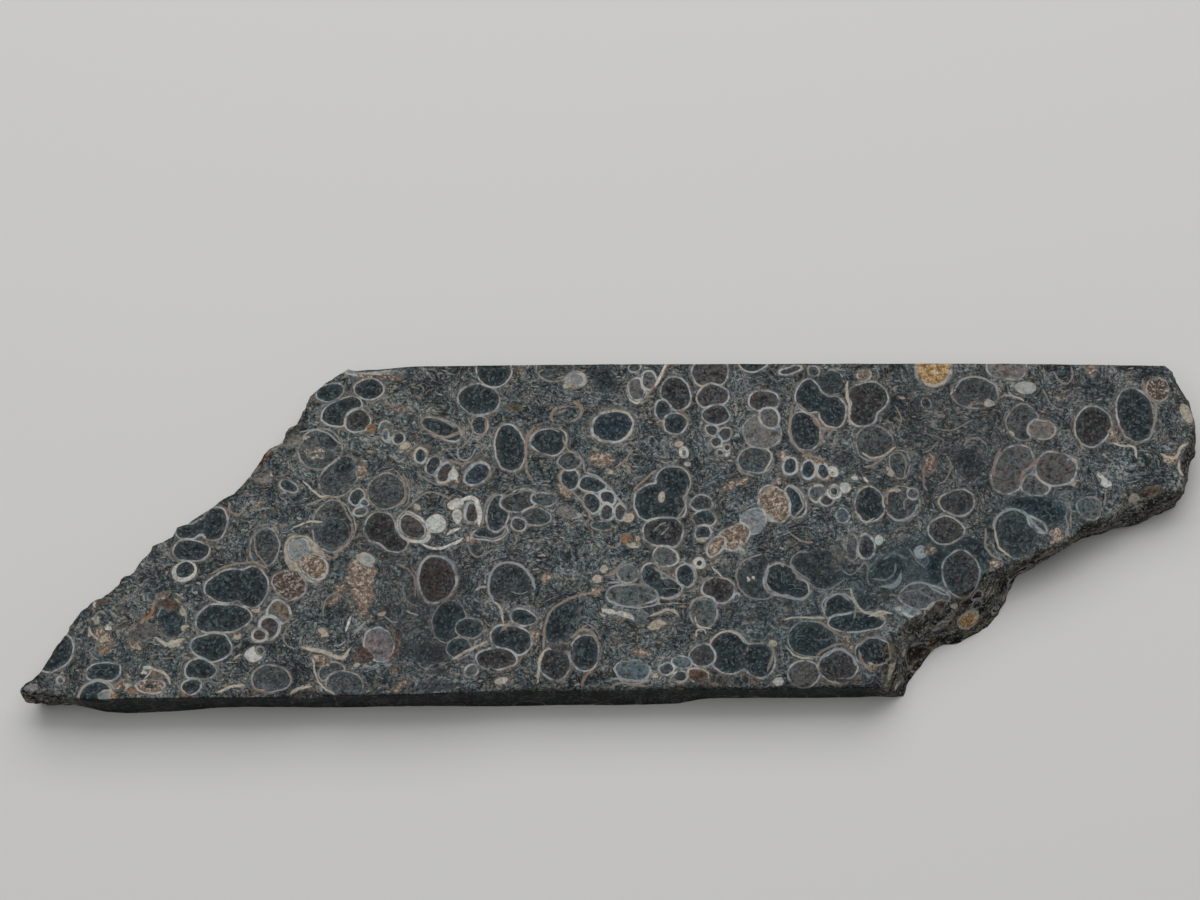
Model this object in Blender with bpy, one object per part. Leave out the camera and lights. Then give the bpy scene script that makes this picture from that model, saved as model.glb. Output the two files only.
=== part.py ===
"""Turritella fossil slab: one sawn slice of silicified mudstone packed with fossil snail shells.

The slab is a single stone that lies flat on its sawn back. Its face and back are flat and its two long sides
are sawn. The other sides are natural breaks with ledges, hollows and the round backs of broken shells.
Blender units are metres and +Z is up. The rim is drawn in millimetres, with +X along the slab, and the
origin is on the table under the middle of the slab's bounding box.
"""

import math

import bmesh
import bpy
from mathutils import Vector, noise

# ---------------------------------------------------------------- driving dimensions, in millimetres
LENGTH = 191.0
WIDTH = 58.5
THICKNESS = 8.0

MM = 0.001                  # one millimetre in Blender units
SAWN_STEP = 1.7             # spacing of the rim's points along a sawn side
BROKEN_STEP = 0.9           # spacing along a broken side
LUMP_SIZE = 4.2             # width of the lumps on a broken side
GRIT_SIZE = 1.5             # width of the small lumps on them
LEDGE_LENGTH = 13.0         # how far one ledge runs along a broken side
LEDGE_HEIGHT = 1.5          # how high one ledge is
SAW_WAVE = 26.0             # length of the saw's slow wander along a sawn side

# Levels of the wall's rows: 0 is the edge of the face, 1 the brow under it, and 2 the foot on the table.
ROWS = (0.0, 0.5, 1.0, 1.14, 1.28, 1.42, 1.56, 1.70, 1.86, 2.0)

STONE_COLOUR = (0.070, 0.076, 0.075, 1.0)
STONE_ROUGHNESS = 0.5

# ---------------------------------------------------------------- the rim, in millimetres
# Each stretch of the rim follows on from the last, counter-clockwise from the front left. "edge" is the edge of
# the flat face, "brow" is where the chips and bevels under it end, with its height, and "foot" is on the table.
FRONT_SIDE = {
    "rough": 0.0,
    "step": SAWN_STEP,
    "edge": [(-87.5, -28.8), (-82.0, -29.1), (-77.4, -28.8), (-57.0, -28.7), (-52.6, -28.6), (-51.2, -27.7),
             (-49.3, -27.3), (-47.7, -27.8), (-46.4, -28.3), (-34.0, -28.2), (-25.0, -27.8), (-22.0, -26.4),
             (-18.0, -24.9), (-10.0, -24.4), (5.0, -24.6), (20.0, -24.9), (38.5, -24.8)],
    "brow": [(-87.8, -28.9, 7.0), (-82.0, -29.1, 7.5), (-57.0, -28.7, 7.6), (-52.4, -28.7, 7.4),
             (-49.8, -28.8, 6.3), (-47.0, -28.5, 7.4), (-30.0, -28.2, 7.6), (-22.0, -27.8, 7.3),
             (-15.0, -27.4, 7.0), (20.0, -27.1, 7.0), (42.4, -26.9, 7.0)],
    "foot": [(-87.7, -27.6), (-82.5, -28.7), (-78.4, -28.9), (-68.4, -28.3), (-64.6, -27.9), (-40.0, -27.8),
             (0.0, -27.5), (10.0, -27.2), (14.0, -26.4), (46.3, -26.1)],
}
FRONT_RIGHT_CORNER = {
    "rough": 1.0,
    "step": BROKEN_STEP,
    "edge": [(38.5, -24.8), (40.7, -24.2), (40.9, -22.8), (41.9, -21.4), (43.9, -18.8), (45.6, -16.9),
             (47.1, -15.8), (50.1, -13.9), (51.3, -12.8), (53.2, -11.7), (56.1, -11.3), (57.3, -10.4),
             (58.5, -9.2), (58.9, -8.0)],
    "brow": [(42.4, -26.9, 7.0), (43.6, -24.4, 6.2), (45.0, -20.8, 6.0), (48.0, -17.2, 6.0),
             (52.2, -14.3, 6.2), (56.6, -12.4, 6.4), (59.6, -9.8, 6.6), (60.0, -8.4, 6.8)],
    "foot": [(46.3, -26.1), (47.0, -24.8), (48.4, -21.8), (50.4, -19.9), (52.3, -17.9), (54.8, -17.2),
             (56.7, -15.5), (60.8, -12.9), (62.8, -11.1), (64.6, -7.3)],
}
FRONT_RIGHT_BREAK = {
    "rough": 0.8,
    "step": BROKEN_STEP,
    "edge": [(58.9, -8.0), (60.6, -7.4), (63.1, -6.2), (65.4, -5.5), (68.2, -4.1), (70.1, -2.8), (71.6, -2.6),
             (73.5, -1.8), (74.7, -0.5), (75.9, 0.8), (78.4, 1.6), (79.6, 1.6), (81.6, 3.1)],
    "brow": [(60.0, -8.4, 6.8), (63.2, -7.0, 6.8), (68.4, -4.8, 6.8), (71.8, -3.3, 6.8), (76.2, -0.2, 6.8),
             (79.8, 1.0, 6.8), (82.3, 2.7, 6.6)],
    "foot": [(64.6, -7.3), (65.4, -6.2), (67.9, -4.3), (70.3, -2.8), (72.6, -0.8), (76.6, 0.8), (79.9, 2.2),
             (82.4, 3.0)],
}
RIGHT_SCOOP = {
    "rough": 0.7,
    "step": BROKEN_STEP,
    "edge": [(81.6, 3.1), (82.3, 4.6), (82.9, 6.6), (84.6, 7.1), (86.6, 7.9), (88.0, 7.8), (89.5, 6.8),
             (91.0, 6.2), (92.3, 6.6)],
    "brow": [(82.3, 2.7, 6.6), (84.6, 3.7, 5.9), (88.0, 4.5, 5.6), (91.2, 5.3, 5.8), (92.9, 6.6, 6.4)],
    "foot": [(82.4, 3.0), (84.8, 3.7), (88.8, 5.4), (92.2, 6.8)],
}
RIGHT_END = {
    "rough": 0.7,
    "step": BROKEN_STEP,
    "edge": [(92.3, 6.6), (92.7, 8.8), (92.5, 10.5), (92.2, 11.5), (92.9, 13.3), (93.7, 14.8), (94.6, 16.0),
             (94.9, 18.4), (94.5, 20.7), (94.0, 22.4), (93.1, 24.4), (92.3, 25.8), (91.9, 27.7), (90.7, 28.7)],
    "brow": [(92.9, 6.6, 6.4), (93.8, 9.8, 5.6), (94.8, 13.0, 5.6), (95.4, 16.9, 5.8), (95.2, 19.5, 6.4),
             (94.5, 21.6, 6.8), (93.3, 24.6, 7.0), (92.3, 27.2, 7.2), (90.8, 28.8, 7.4)],
    "foot": [(92.2, 6.8), (93.2, 10.0), (94.1, 13.0), (94.3, 17.0), (93.8, 20.5), (92.6, 24.0), (91.8, 26.5),
             (90.4, 28.5)],
}
REAR_SIDE = {
    "rough": 0.0,
    "step": SAWN_STEP,
    "edge": [(90.7, 28.7), (80.0, 28.9), (65.0, 29.1), (40.0, 29.1), (0.0, 29.0), (-20.0, 28.8), (-34.6, 28.6),
             (-36.6, 27.8), (-38.6, 27.2), (-41.2, 27.0), (-43.4, 27.6), (-44.5, 28.1)],
    "brow": [(90.8, 28.8, 7.4), (65.0, 29.1, 7.6), (0.0, 29.0, 7.6), (-34.6, 28.7, 7.5), (-39.0, 28.6, 6.8),
             (-43.4, 28.4, 6.9), (-44.8, 28.0, 7.3)],
    "foot": [(90.4, 28.5), (0.0, 28.9), (-44.4, 28.2)],
}
LEFT_SHOULDER = {
    "rough": 0.8,
    "step": BROKEN_STEP,
    "edge": [(-44.5, 28.1), (-46.2, 26.9), (-48.3, 25.4), (-50.6, 23.1), (-51.4, 20.8), (-51.7, 19.2),
             (-51.7, 17.2), (-53.2, 15.6), (-55.5, 14.0), (-57.2, 12.0), (-58.7, 9.8), (-60.2, 8.7)],
    "brow": [(-44.8, 28.0, 7.3), (-48.7, 25.4, 6.8), (-51.0, 23.0, 6.4), (-52.1, 19.4, 6.4), (-54.0, 18.5, 6.2),
             (-54.9, 17.4, 6.0), (-54.9, 16.4, 6.2), (-57.4, 13.9, 6.2), (-58.9, 11.7, 6.0), (-60.0, 9.4, 6.6),
             (-60.8, 8.3, 7.0)],
    "foot": [(-44.4, 28.2), (-50.2, 22.6), (-53.8, 17.6), (-58.2, 11.4), (-60.4, 7.6)],
}
LEFT_BREAK = {
    "rough": 1.0,
    "step": BROKEN_STEP,
    "edge": [(-60.2, 8.7), (-62.3, 6.1), (-64.3, 4.9), (-66.6, 2.9), (-69.8, 0.8), (-71.6, 0.1), (-71.7, -0.9),
             (-72.6, -1.9), (-75.1, -3.0), (-75.6, -4.2), (-77.7, -6.7), (-78.3, -8.1), (-80.0, -8.4),
             (-80.4, -10.0), (-82.3, -11.9), (-84.1, -12.4), (-85.8, -14.2), (-86.8, -15.2), (-87.4, -17.3),
             (-88.7, -18.6), (-90.4, -21.4), (-92.3, -24.8), (-93.4, -26.1)],
    "brow": [(-60.8, 8.3, 7.0), (-62.6, 6.0, 6.9), (-70.0, 0.7, 6.8), (-72.4, -1.7, 6.8), (-75.9, -4.4, 6.8),
             (-78.6, -8.2, 6.6), (-80.6, -10.0, 6.7), (-84.4, -12.6, 6.6), (-87.3, -15.6, 6.8),
             (-90.8, -21.6, 6.8), (-92.7, -24.9, 6.8), (-94.2, -26.2, 6.9)],
    "foot": [(-60.4, 7.6), (-66.2, 2.2), (-70.9, -1.0), (-76.2, -5.6), (-80.6, -10.4), (-86.2, -15.6),
             (-88.9, -20.6), (-91.8, -24.6), (-93.0, -26.0)],
}
LEFT_TIP = {
    "rough": 0.9,
    "step": BROKEN_STEP,
    "edge": [(-93.4, -26.1), (-94.4, -26.7), (-94.5, -27.4), (-93.2, -27.8), (-91.0, -28.1), (-88.8, -28.4),
             (-87.5, -28.8)],
    "brow": [(-94.2, -26.2, 6.9), (-95.3, -27.3, 6.6), (-94.8, -28.5, 6.0), (-93.4, -29.0, 5.8),
             (-90.2, -28.9, 6.1), (-87.8, -28.9, 7.0)],
    "foot": [(-93.0, -26.0), (-93.2, -26.8), (-92.2, -27.3), (-90.0, -27.4), (-87.7, -27.6)],
}
RIM = (FRONT_SIDE, FRONT_RIGHT_CORNER, FRONT_RIGHT_BREAK, RIGHT_SCOOP, RIGHT_END, REAR_SIDE, LEFT_SHOULDER,
       LEFT_BREAK, LEFT_TIP)

# Broken shells that show on the sides: middle (x, y, z), radius, and how far each stands out, in millimetres.
SHELLS_ON_THE_SIDES = (
    ((48.6, -20.2, 3.2), 2.4, -1.5),      # an empty chamber at the front right corner
    ((51.9, -13.6, 5.6), 2.3, 0.8),       # the round back of a whorl just under the face
    ((57.2, -14.4, 2.6), 2.3, 1.0),
    ((63.4, -10.0, 2.2), 2.5, 0.7),
    ((46.4, -24.6, 3.0), 1.6, 0.6),
    ((84.5, 3.7, 3.0), 2.8, 0.6),
    ((95.0, 17.5, 3.4), 2.8, -0.5),
    ((93.4, 24.0, 3.6), 2.4, -0.8),
    ((-51.6, 21.4, 3.6), 2.8, 0.9),
    ((-57.6, 12.4, 3.4), 2.6, -1.0),
    ((-64.4, 4.4, 3.4), 3.2, 0.8),
    ((-73.4, -2.6, 3.2), 2.6, -1.1),
    ((-79.6, -9.0, 3.8), 2.8, 0.8),
    ((-86.8, -16.0, 3.2), 3.2, -1.2),
    ((-91.0, -22.4, 3.4), 2.6, 0.9),
)

# The broken whorl in the face: each hollow's middle, radii and turn about +Z in degrees.
FACE_HOLLOWS = (
    ((-71.9, -15.0, 8.5), (2.1, 3.3, 1.9), 12.0),
    ((-71.3, -18.0, 8.2), (1.9, 0.8, 1.9), 4.0),
)


def clear_scene():
    """Removes whatever the file opened with."""
    for item in list(bpy.data.objects):
        bpy.data.objects.remove(item, do_unlink=True)


def spread_evenly(points, count):
    """`count` points at even spacing along an open path, leaving out its last point."""
    path = [Vector(p) for p in points]
    lengths = [(b - a).length for a, b in zip(path, path[1:])]
    spacing = sum(lengths) / count
    spread = []
    leg = 0
    start_of_leg = 0.0
    for i in range(count):
        along = i * spacing
        while leg < len(lengths) - 1 and along > start_of_leg + lengths[leg]:
            start_of_leg += lengths[leg]
            leg += 1
        spread.append(path[leg].lerp(path[leg + 1], (along - start_of_leg) / lengths[leg]))
    return spread


def path_length(points):
    return sum((Vector(b) - Vector(a)).length for a, b in zip(points, points[1:]))


def rim_samples():
    """The whole rim as matching lists: edge, brow and foot points, and how rough the side is at each."""
    edge, brow, foot, rough = [], [], [], []
    for stretch in RIM:
        longest = max(path_length(stretch["edge"]), path_length([p[:2] for p in stretch["brow"]]))
        count = math.ceil(longest / stretch["step"])
        edge += [Vector((p.x, p.y, THICKNESS)) for p in spread_evenly(stretch["edge"], count)]
        brow += spread_evenly(stretch["brow"], count)
        foot += [Vector((p.x, p.y, 0.0)) for p in spread_evenly(stretch["foot"], count)]
        rough += [stretch["rough"]] * count
    return edge, brow, foot, smooth_round(rough, 3)


def smooth_round(values, reach):
    """Averages a closed list of numbers over `reach` neighbours on each side."""
    count = len(values)
    width = 2 * reach + 1
    return [sum(values[(i + k) % count] for k in range(-reach, reach + 1)) / width for i in range(count)]


def outward_directions(loop, reach=4):
    """Level unit vectors that point out of a counter-clockwise loop, taken over `reach` neighbours."""
    count = len(loop)
    directions = []
    for i in range(count):
        along = loop[(i + reach) % count] - loop[(i - reach) % count]
        directions.append(Vector((along.y, -along.x, 0.0)).normalized())
    return directions


def break_relief(point, level):
    """How far a broken side stands out at a point, in millimetres: lumps, grit, ledges and broken shells."""
    lumps = noise.noise(point / LUMP_SIZE) + 0.4 * noise.noise(point / GRIT_SIZE)
    ledges = abs(noise.noise(Vector((point.x / LEDGE_LENGTH, point.y / LEDGE_LENGTH, point.z / LEDGE_HEIGHT))))
    relief = 0.75 * lumps + 1.3 * (ledges - 0.25)
    for middle, radius, height in SHELLS_ON_THE_SIDES:
        distance = (point - Vector(middle)).length / radius
        if distance < 1.0:
            relief = relief * distance + height * math.sqrt(1.0 - distance ** 2)
    depth = min(level, 1.0)
    return relief * depth


def saw_relief(point, level):
    """How far the saw wandered on a sawn side, in millimetres. It leaves the edge of the face straight."""
    wander = math.sin(math.tau * point.x / SAW_WAVE + 0.4 * point.z)
    return 0.06 * wander * min(level, 1.0)


def edge_chips(point):
    """The fine raggedness of the edge of the face."""
    return 0.16 * noise.noise(point / 1.1)


def side_rows():
    """Rows of points down the slab's side, from the edge of the face to the foot."""
    edge, brow, foot, rough = rim_samples()
    outward = outward_directions(brow)
    rows = []
    for level in ROWS:
        row = []
        for i, roughness in enumerate(rough):
            if level <= 1.0:
                point = edge[i].lerp(brow[i], level)
            else:
                point = brow[i].lerp(foot[i], level - 1.0)
            relief = roughness * break_relief(point, level) + (1.0 - roughness) * saw_relief(point, level)
            relief += edge_chips(point) * (0.4 + roughness)
            moved = point + outward[i] * relief
            if 0.0 < level < 2.0:
                moved.z += 0.3 * roughness * noise.noise(point / 2.2)
            row.append(moved)
        rows.append(row)
    return rows


def fit_to_size(rows):
    """Scales the rows to the slab's length and width, and puts the middle of their box over the origin."""
    xs = [p.x for row in rows for p in row]
    ys = [p.y for row in rows for p in row]
    middle = Vector(((max(xs) + min(xs)) / 2.0, (max(ys) + min(ys)) / 2.0, 0.0))
    scale_x = LENGTH / (max(xs) - min(xs))
    scale_y = WIDTH / (max(ys) - min(ys))
    for row in rows:
        for p in row:
            p.x = (p.x - middle.x) * scale_x
            p.y = (p.y - middle.y) * scale_y
    return rows


def slab_mesh(rows):
    """A closed mesh: the flat face, the bands between the rows, and the flat back."""
    bm = bmesh.new()
    rings = [[bm.verts.new(p * MM) for p in row] for row in rows]
    count = len(rings[0])
    bm.faces.new(rings[0])
    for upper, lower in zip(rings, rings[1:]):
        for i in range(count):
            j = (i + 1) % count
            bm.faces.new((upper[i], lower[i], lower[j], upper[j]))
    bm.faces.new(list(reversed(rings[-1])))
    bmesh.ops.triangulate(bm, faces=bm.faces[:])
    mesh = bpy.data.meshes.new("slab")
    bm.to_mesh(mesh)
    bm.free()
    return mesh


def stone_material():
    material = bpy.data.materials.new("fossil_stone")
    material.use_nodes = True
    shader = material.node_tree.nodes["Principled BSDF"]
    shader.inputs["Base Color"].default_value = STONE_COLOUR
    shader.inputs["Roughness"].default_value = STONE_ROUGHNESS
    shader.inputs["Metallic"].default_value = 0.0
    return material


def cut_hollow(slab, number, middle, radii, turn):
    """Takes one rough hollow out of the face with a cutter that stays in the scene, hidden from renders."""
    bm = bmesh.new()
    bmesh.ops.create_icosphere(bm, subdivisions=3, radius=1.0)
    for vert in bm.verts:
        dent = 1.0 + 0.22 * noise.noise(vert.co * 1.7 + Vector((number * 5.0, 0.0, 0.0)))
        vert.co = Vector([c * r for c, r in zip(vert.co, radii)]) * dent * MM
    mesh = bpy.data.meshes.new(f"hollow_cutter_{number}")
    bm.to_mesh(mesh)
    bm.free()
    cutter = bpy.data.objects.new(mesh.name, mesh)
    bpy.context.collection.objects.link(cutter)
    cutter.location = Vector(middle) * MM
    cutter.rotation_euler.z = math.radians(turn)
    cutter.display_type = "WIRE"
    cutter.hide_render = True
    boolean = slab.modifiers.new(mesh.name, "BOOLEAN")
    boolean.operation = "DIFFERENCE"
    boolean.solver = "EXACT"
    boolean.object = cutter


def build_slab():
    mesh = slab_mesh(fit_to_size(side_rows()))
    slab = bpy.data.objects.new("slab", mesh)
    bpy.context.collection.objects.link(slab)
    mesh.materials.append(stone_material())
    for number, (middle, radii, turn) in enumerate(FACE_HOLLOWS):
        cut_hollow(slab, number, middle, radii, turn)


clear_scene()
build_slab()
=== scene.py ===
"""The looks of the turritella fossil slab: its cut shells, its speckled matrix and its broken sides.

Places are in millimetres in the row frame, seen from above. In the tables an ellipse is five numbers:
x, y, half length, half width, and turn in degrees. A turn of 0 that comes last is left out. A whorl is
one ellipse, or several that are joined, and it bites into the whorls before it.
"""

import math

import bmesh
import bpy
import numpy as np
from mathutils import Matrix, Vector, noise
from mathutils.geometry import delaunay_2d_cdt


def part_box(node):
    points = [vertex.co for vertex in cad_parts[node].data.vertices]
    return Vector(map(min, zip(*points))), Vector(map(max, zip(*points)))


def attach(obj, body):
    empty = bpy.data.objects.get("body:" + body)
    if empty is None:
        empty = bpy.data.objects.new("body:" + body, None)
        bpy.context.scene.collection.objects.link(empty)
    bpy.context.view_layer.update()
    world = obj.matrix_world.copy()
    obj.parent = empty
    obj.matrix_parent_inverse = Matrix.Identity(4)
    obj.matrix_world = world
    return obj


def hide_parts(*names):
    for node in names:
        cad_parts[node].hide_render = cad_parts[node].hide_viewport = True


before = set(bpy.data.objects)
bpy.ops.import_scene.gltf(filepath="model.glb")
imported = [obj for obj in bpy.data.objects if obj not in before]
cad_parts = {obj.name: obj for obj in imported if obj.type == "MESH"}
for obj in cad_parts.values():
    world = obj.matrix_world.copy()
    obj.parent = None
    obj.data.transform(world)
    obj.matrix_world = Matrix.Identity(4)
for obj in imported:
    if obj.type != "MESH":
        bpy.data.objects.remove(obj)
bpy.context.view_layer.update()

MM = 0.001
LOW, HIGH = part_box("slab")
THICKNESS = (HIGH.z - LOW.z) / MM

# ---------------------------------------------------------------- camera, from the photograph's angle
CAMERA_ELEVATION = math.radians(68.0)
CAMERA_DISTANCE = 0.546
CAMERA_LENS = 100.0
AIM = Vector((-0.0028, 0.0138, 0.008))

# ---------------------------------------------------------------- mesh, in millimetres
FINE = 0.24                 # between points of the face beside an outline
FINE_REACH = 0.33           # how far from an outline the points stay that close
MIDDLE_REACH = 1.0          # how far they keep twice that spacing; beyond it they are three times apart
BACK_SPACING = 1.2          # between points of the back
RIM_CLEARANCE = 0.16        # between the rim and the nearest point inside it
CUTS_ON_SIDES = 1           # how often each edge of the CAD sides is cut
GRIT_SIZE = 0.9             # size of the fine relief on the broken sides
GRIT_HEIGHT = 0.16
LEDGE_SIZE = (6.0, 0.7)     # length and height of the thin ledges there
LEDGE_DEPTH = 0.16
BACK_CLEARANCE = 0.02       # between the back and the lowest point of a roughened side
FACE_CLEARANCE = 0.005
WELD = 0.002                # points of the CAD mesh closer than this are one point
LEVEL_TOLERANCE = 1e-6      # in metres: how level the CAD model's face and back are
SHARP_ANGLE = math.radians(40.0)
SAWN_SIDES = (              # lowest and highest x, then lowest and highest y
    (-44.0, 90.0, 27.6, math.inf),
    (-86.5, 42.0, -math.inf, -24.0),
)
STEEP_BROKEN, STEEP_SAWN, STEEP_FADE = 0.01, 0.30, 0.20     # how steep a place is to count as a side

# ---------------------------------------------------------------- shapes, in millimetres
FAR = 3.0                   # a distance that counts as out of reach
NEAR = 1.3                  # shapes closer than this can't share a group
GROUPS = 6                  # groups of whorls
LINE_GROUPS = 3             # groups of lines
WAVES = 9                   # waves that are summed when outlines are bent
BENDS = ((7.0, 0.16, 3), (2.6, 0.05, 4))        # wavelength, height and random seed for every outline
RAGS = ((1.5, 0.26, 5), (0.8, 0.14, 6))         # the same, on top, for the ragged scraps
WALL_GAP = 0.12             # stone between two walls
JOIN_SOFTNESS = 0.5         # how softly the ellipses of a whorl run together
BITE_SOFTNESS = 0.35        # how softly a whorl bites into another

# Shells on the back, which the photograph doesn't show, and low on the sides.
HIDDEN_SEED = 41
HIDDEN_TRIES = 900
HIDDEN_REACH = (92, 27)     # how far from the middle they start, along x and y
HIDDEN_LEVELS = (1.0, 3.0)  # above the back, for one in three; the others lie on it
HIDDEN_SIZES = (1.6, 3.6)
HIDDEN_WHORLS = (2, 6)      # fewest whorls in a shell, and one more than the most
HIDDEN_GAP = 0.3
WHORL_STEP = 1.25           # from one whorl of a shell to the next, in sizes
WHORL_SHRINK = 0.8
HIDDEN_FILLS = ["dark", "dark", "umber", "grey", "silt", "pinkish", "brown"]

# ---------------------------------------------------------------- what fills a whorl
# colour (sRGB), texture (-1 like the matrix, 0 speckled chalcedony, 1 crystalline), wall width in mm,
# wall whiteness, and width of the tan seam outside the wall in mm.
FILLS = {
    "dark": ((41, 50, 54), 0.0, 0.24, 0.75, 0.60),
    "blue": ((36, 50, 58), 0.0, 0.42, 1.0, 0.95),
    "teal": ((41, 54, 58), -0.2, 0.14, 0.45, 0.35),
    "shade": ((40, 48, 51), -0.35, 0.0, 0.0, 0.0),
    "silt": ((61, 66, 67), -0.65, 0.20, 0.48, 0.40),
    "umber": ((54, 51, 51), 0.05, 0.26, 0.75, 0.55),
    "brown": ((68, 58, 55), 0.10, 0.42, 1.0, 0.55),
    "ring": ((56, 56, 58), 0.0, 0.36, 1.0, 0.35),
    "taupe": ((72, 67, 66), 0.0, 0.24, 0.80, 0.40),
    "peach": ((120, 104, 94), 0.1, 0.0, 0.0, 0.0),
    "grey": ((62, 61, 61), 0.0, 0.24, 0.70, 0.40),
    "pinkish": ((92, 86, 84), 0.10, 0.26, 0.80, 0.35),
    "pale": ((120, 115, 110), 0.10, 0.24, 0.70, 0.30),
    "lilac": ((122, 116, 117), 0.0, 0.22, 0.85, 0.0),
    "pearl": ((140, 141, 142), 0.0, 0.22, 0.90, 0.0),
    "ash": ((98, 96, 95), 0.0, 0.28, 0.90, 0.35),
    "pool": ((36, 47, 52), 0.0, 0.0, 0.0, 0.0),
    "chalk": ((172, 174, 168), 0.05, 0.0, 0.0, 0.25),
    "brick": ((90, 76, 68), 0.8, 0.20, 0.60, 0.45),
    "grit": ((108, 106, 99), 1.0, 0.0, 0.0, 0.0),
    "clay": ((116, 102, 90), 0.15, 0.32, 1.0, 0.35),
    "sage": ((90, 95, 93), 0.05, 0.24, 0.60, 0.20),
    "deep": ((40, 49, 53), 0.0, 0.0, 0.0, 0.0),
    "mud": ((45, 52, 54), -0.3, 0.0, 0.0, 0.0),
    "rust": ((84, 60, 46), 0.2, 0.0, 0.0, 0.0),
    "mist": ((86, 96, 102), 0.0, 0.20, 0.70, 0.0),
    "tan": ((128, 111, 97), 1.0, 0.28, 0.85, 0.45),
    "amber": ((166, 132, 86), 1.0, 0.45, 1.0, 0.50),
    "orange": ((140, 98, 62), 0.2, 0.0, 0.0, 0.25),
    "cream": ((178, 167, 150), 0.25, 0.0, 0.0, 0.25),
    "white": ((204, 201, 193), 0.05, 0.0, 0.0, 0.35),
    "olive": ((84, 76, 54), 0.2, 0.0, 0.0, 0.0),
    "black": ((20, 18, 16), 0.0, 0.0, 0.0, 0.0),
}

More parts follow.
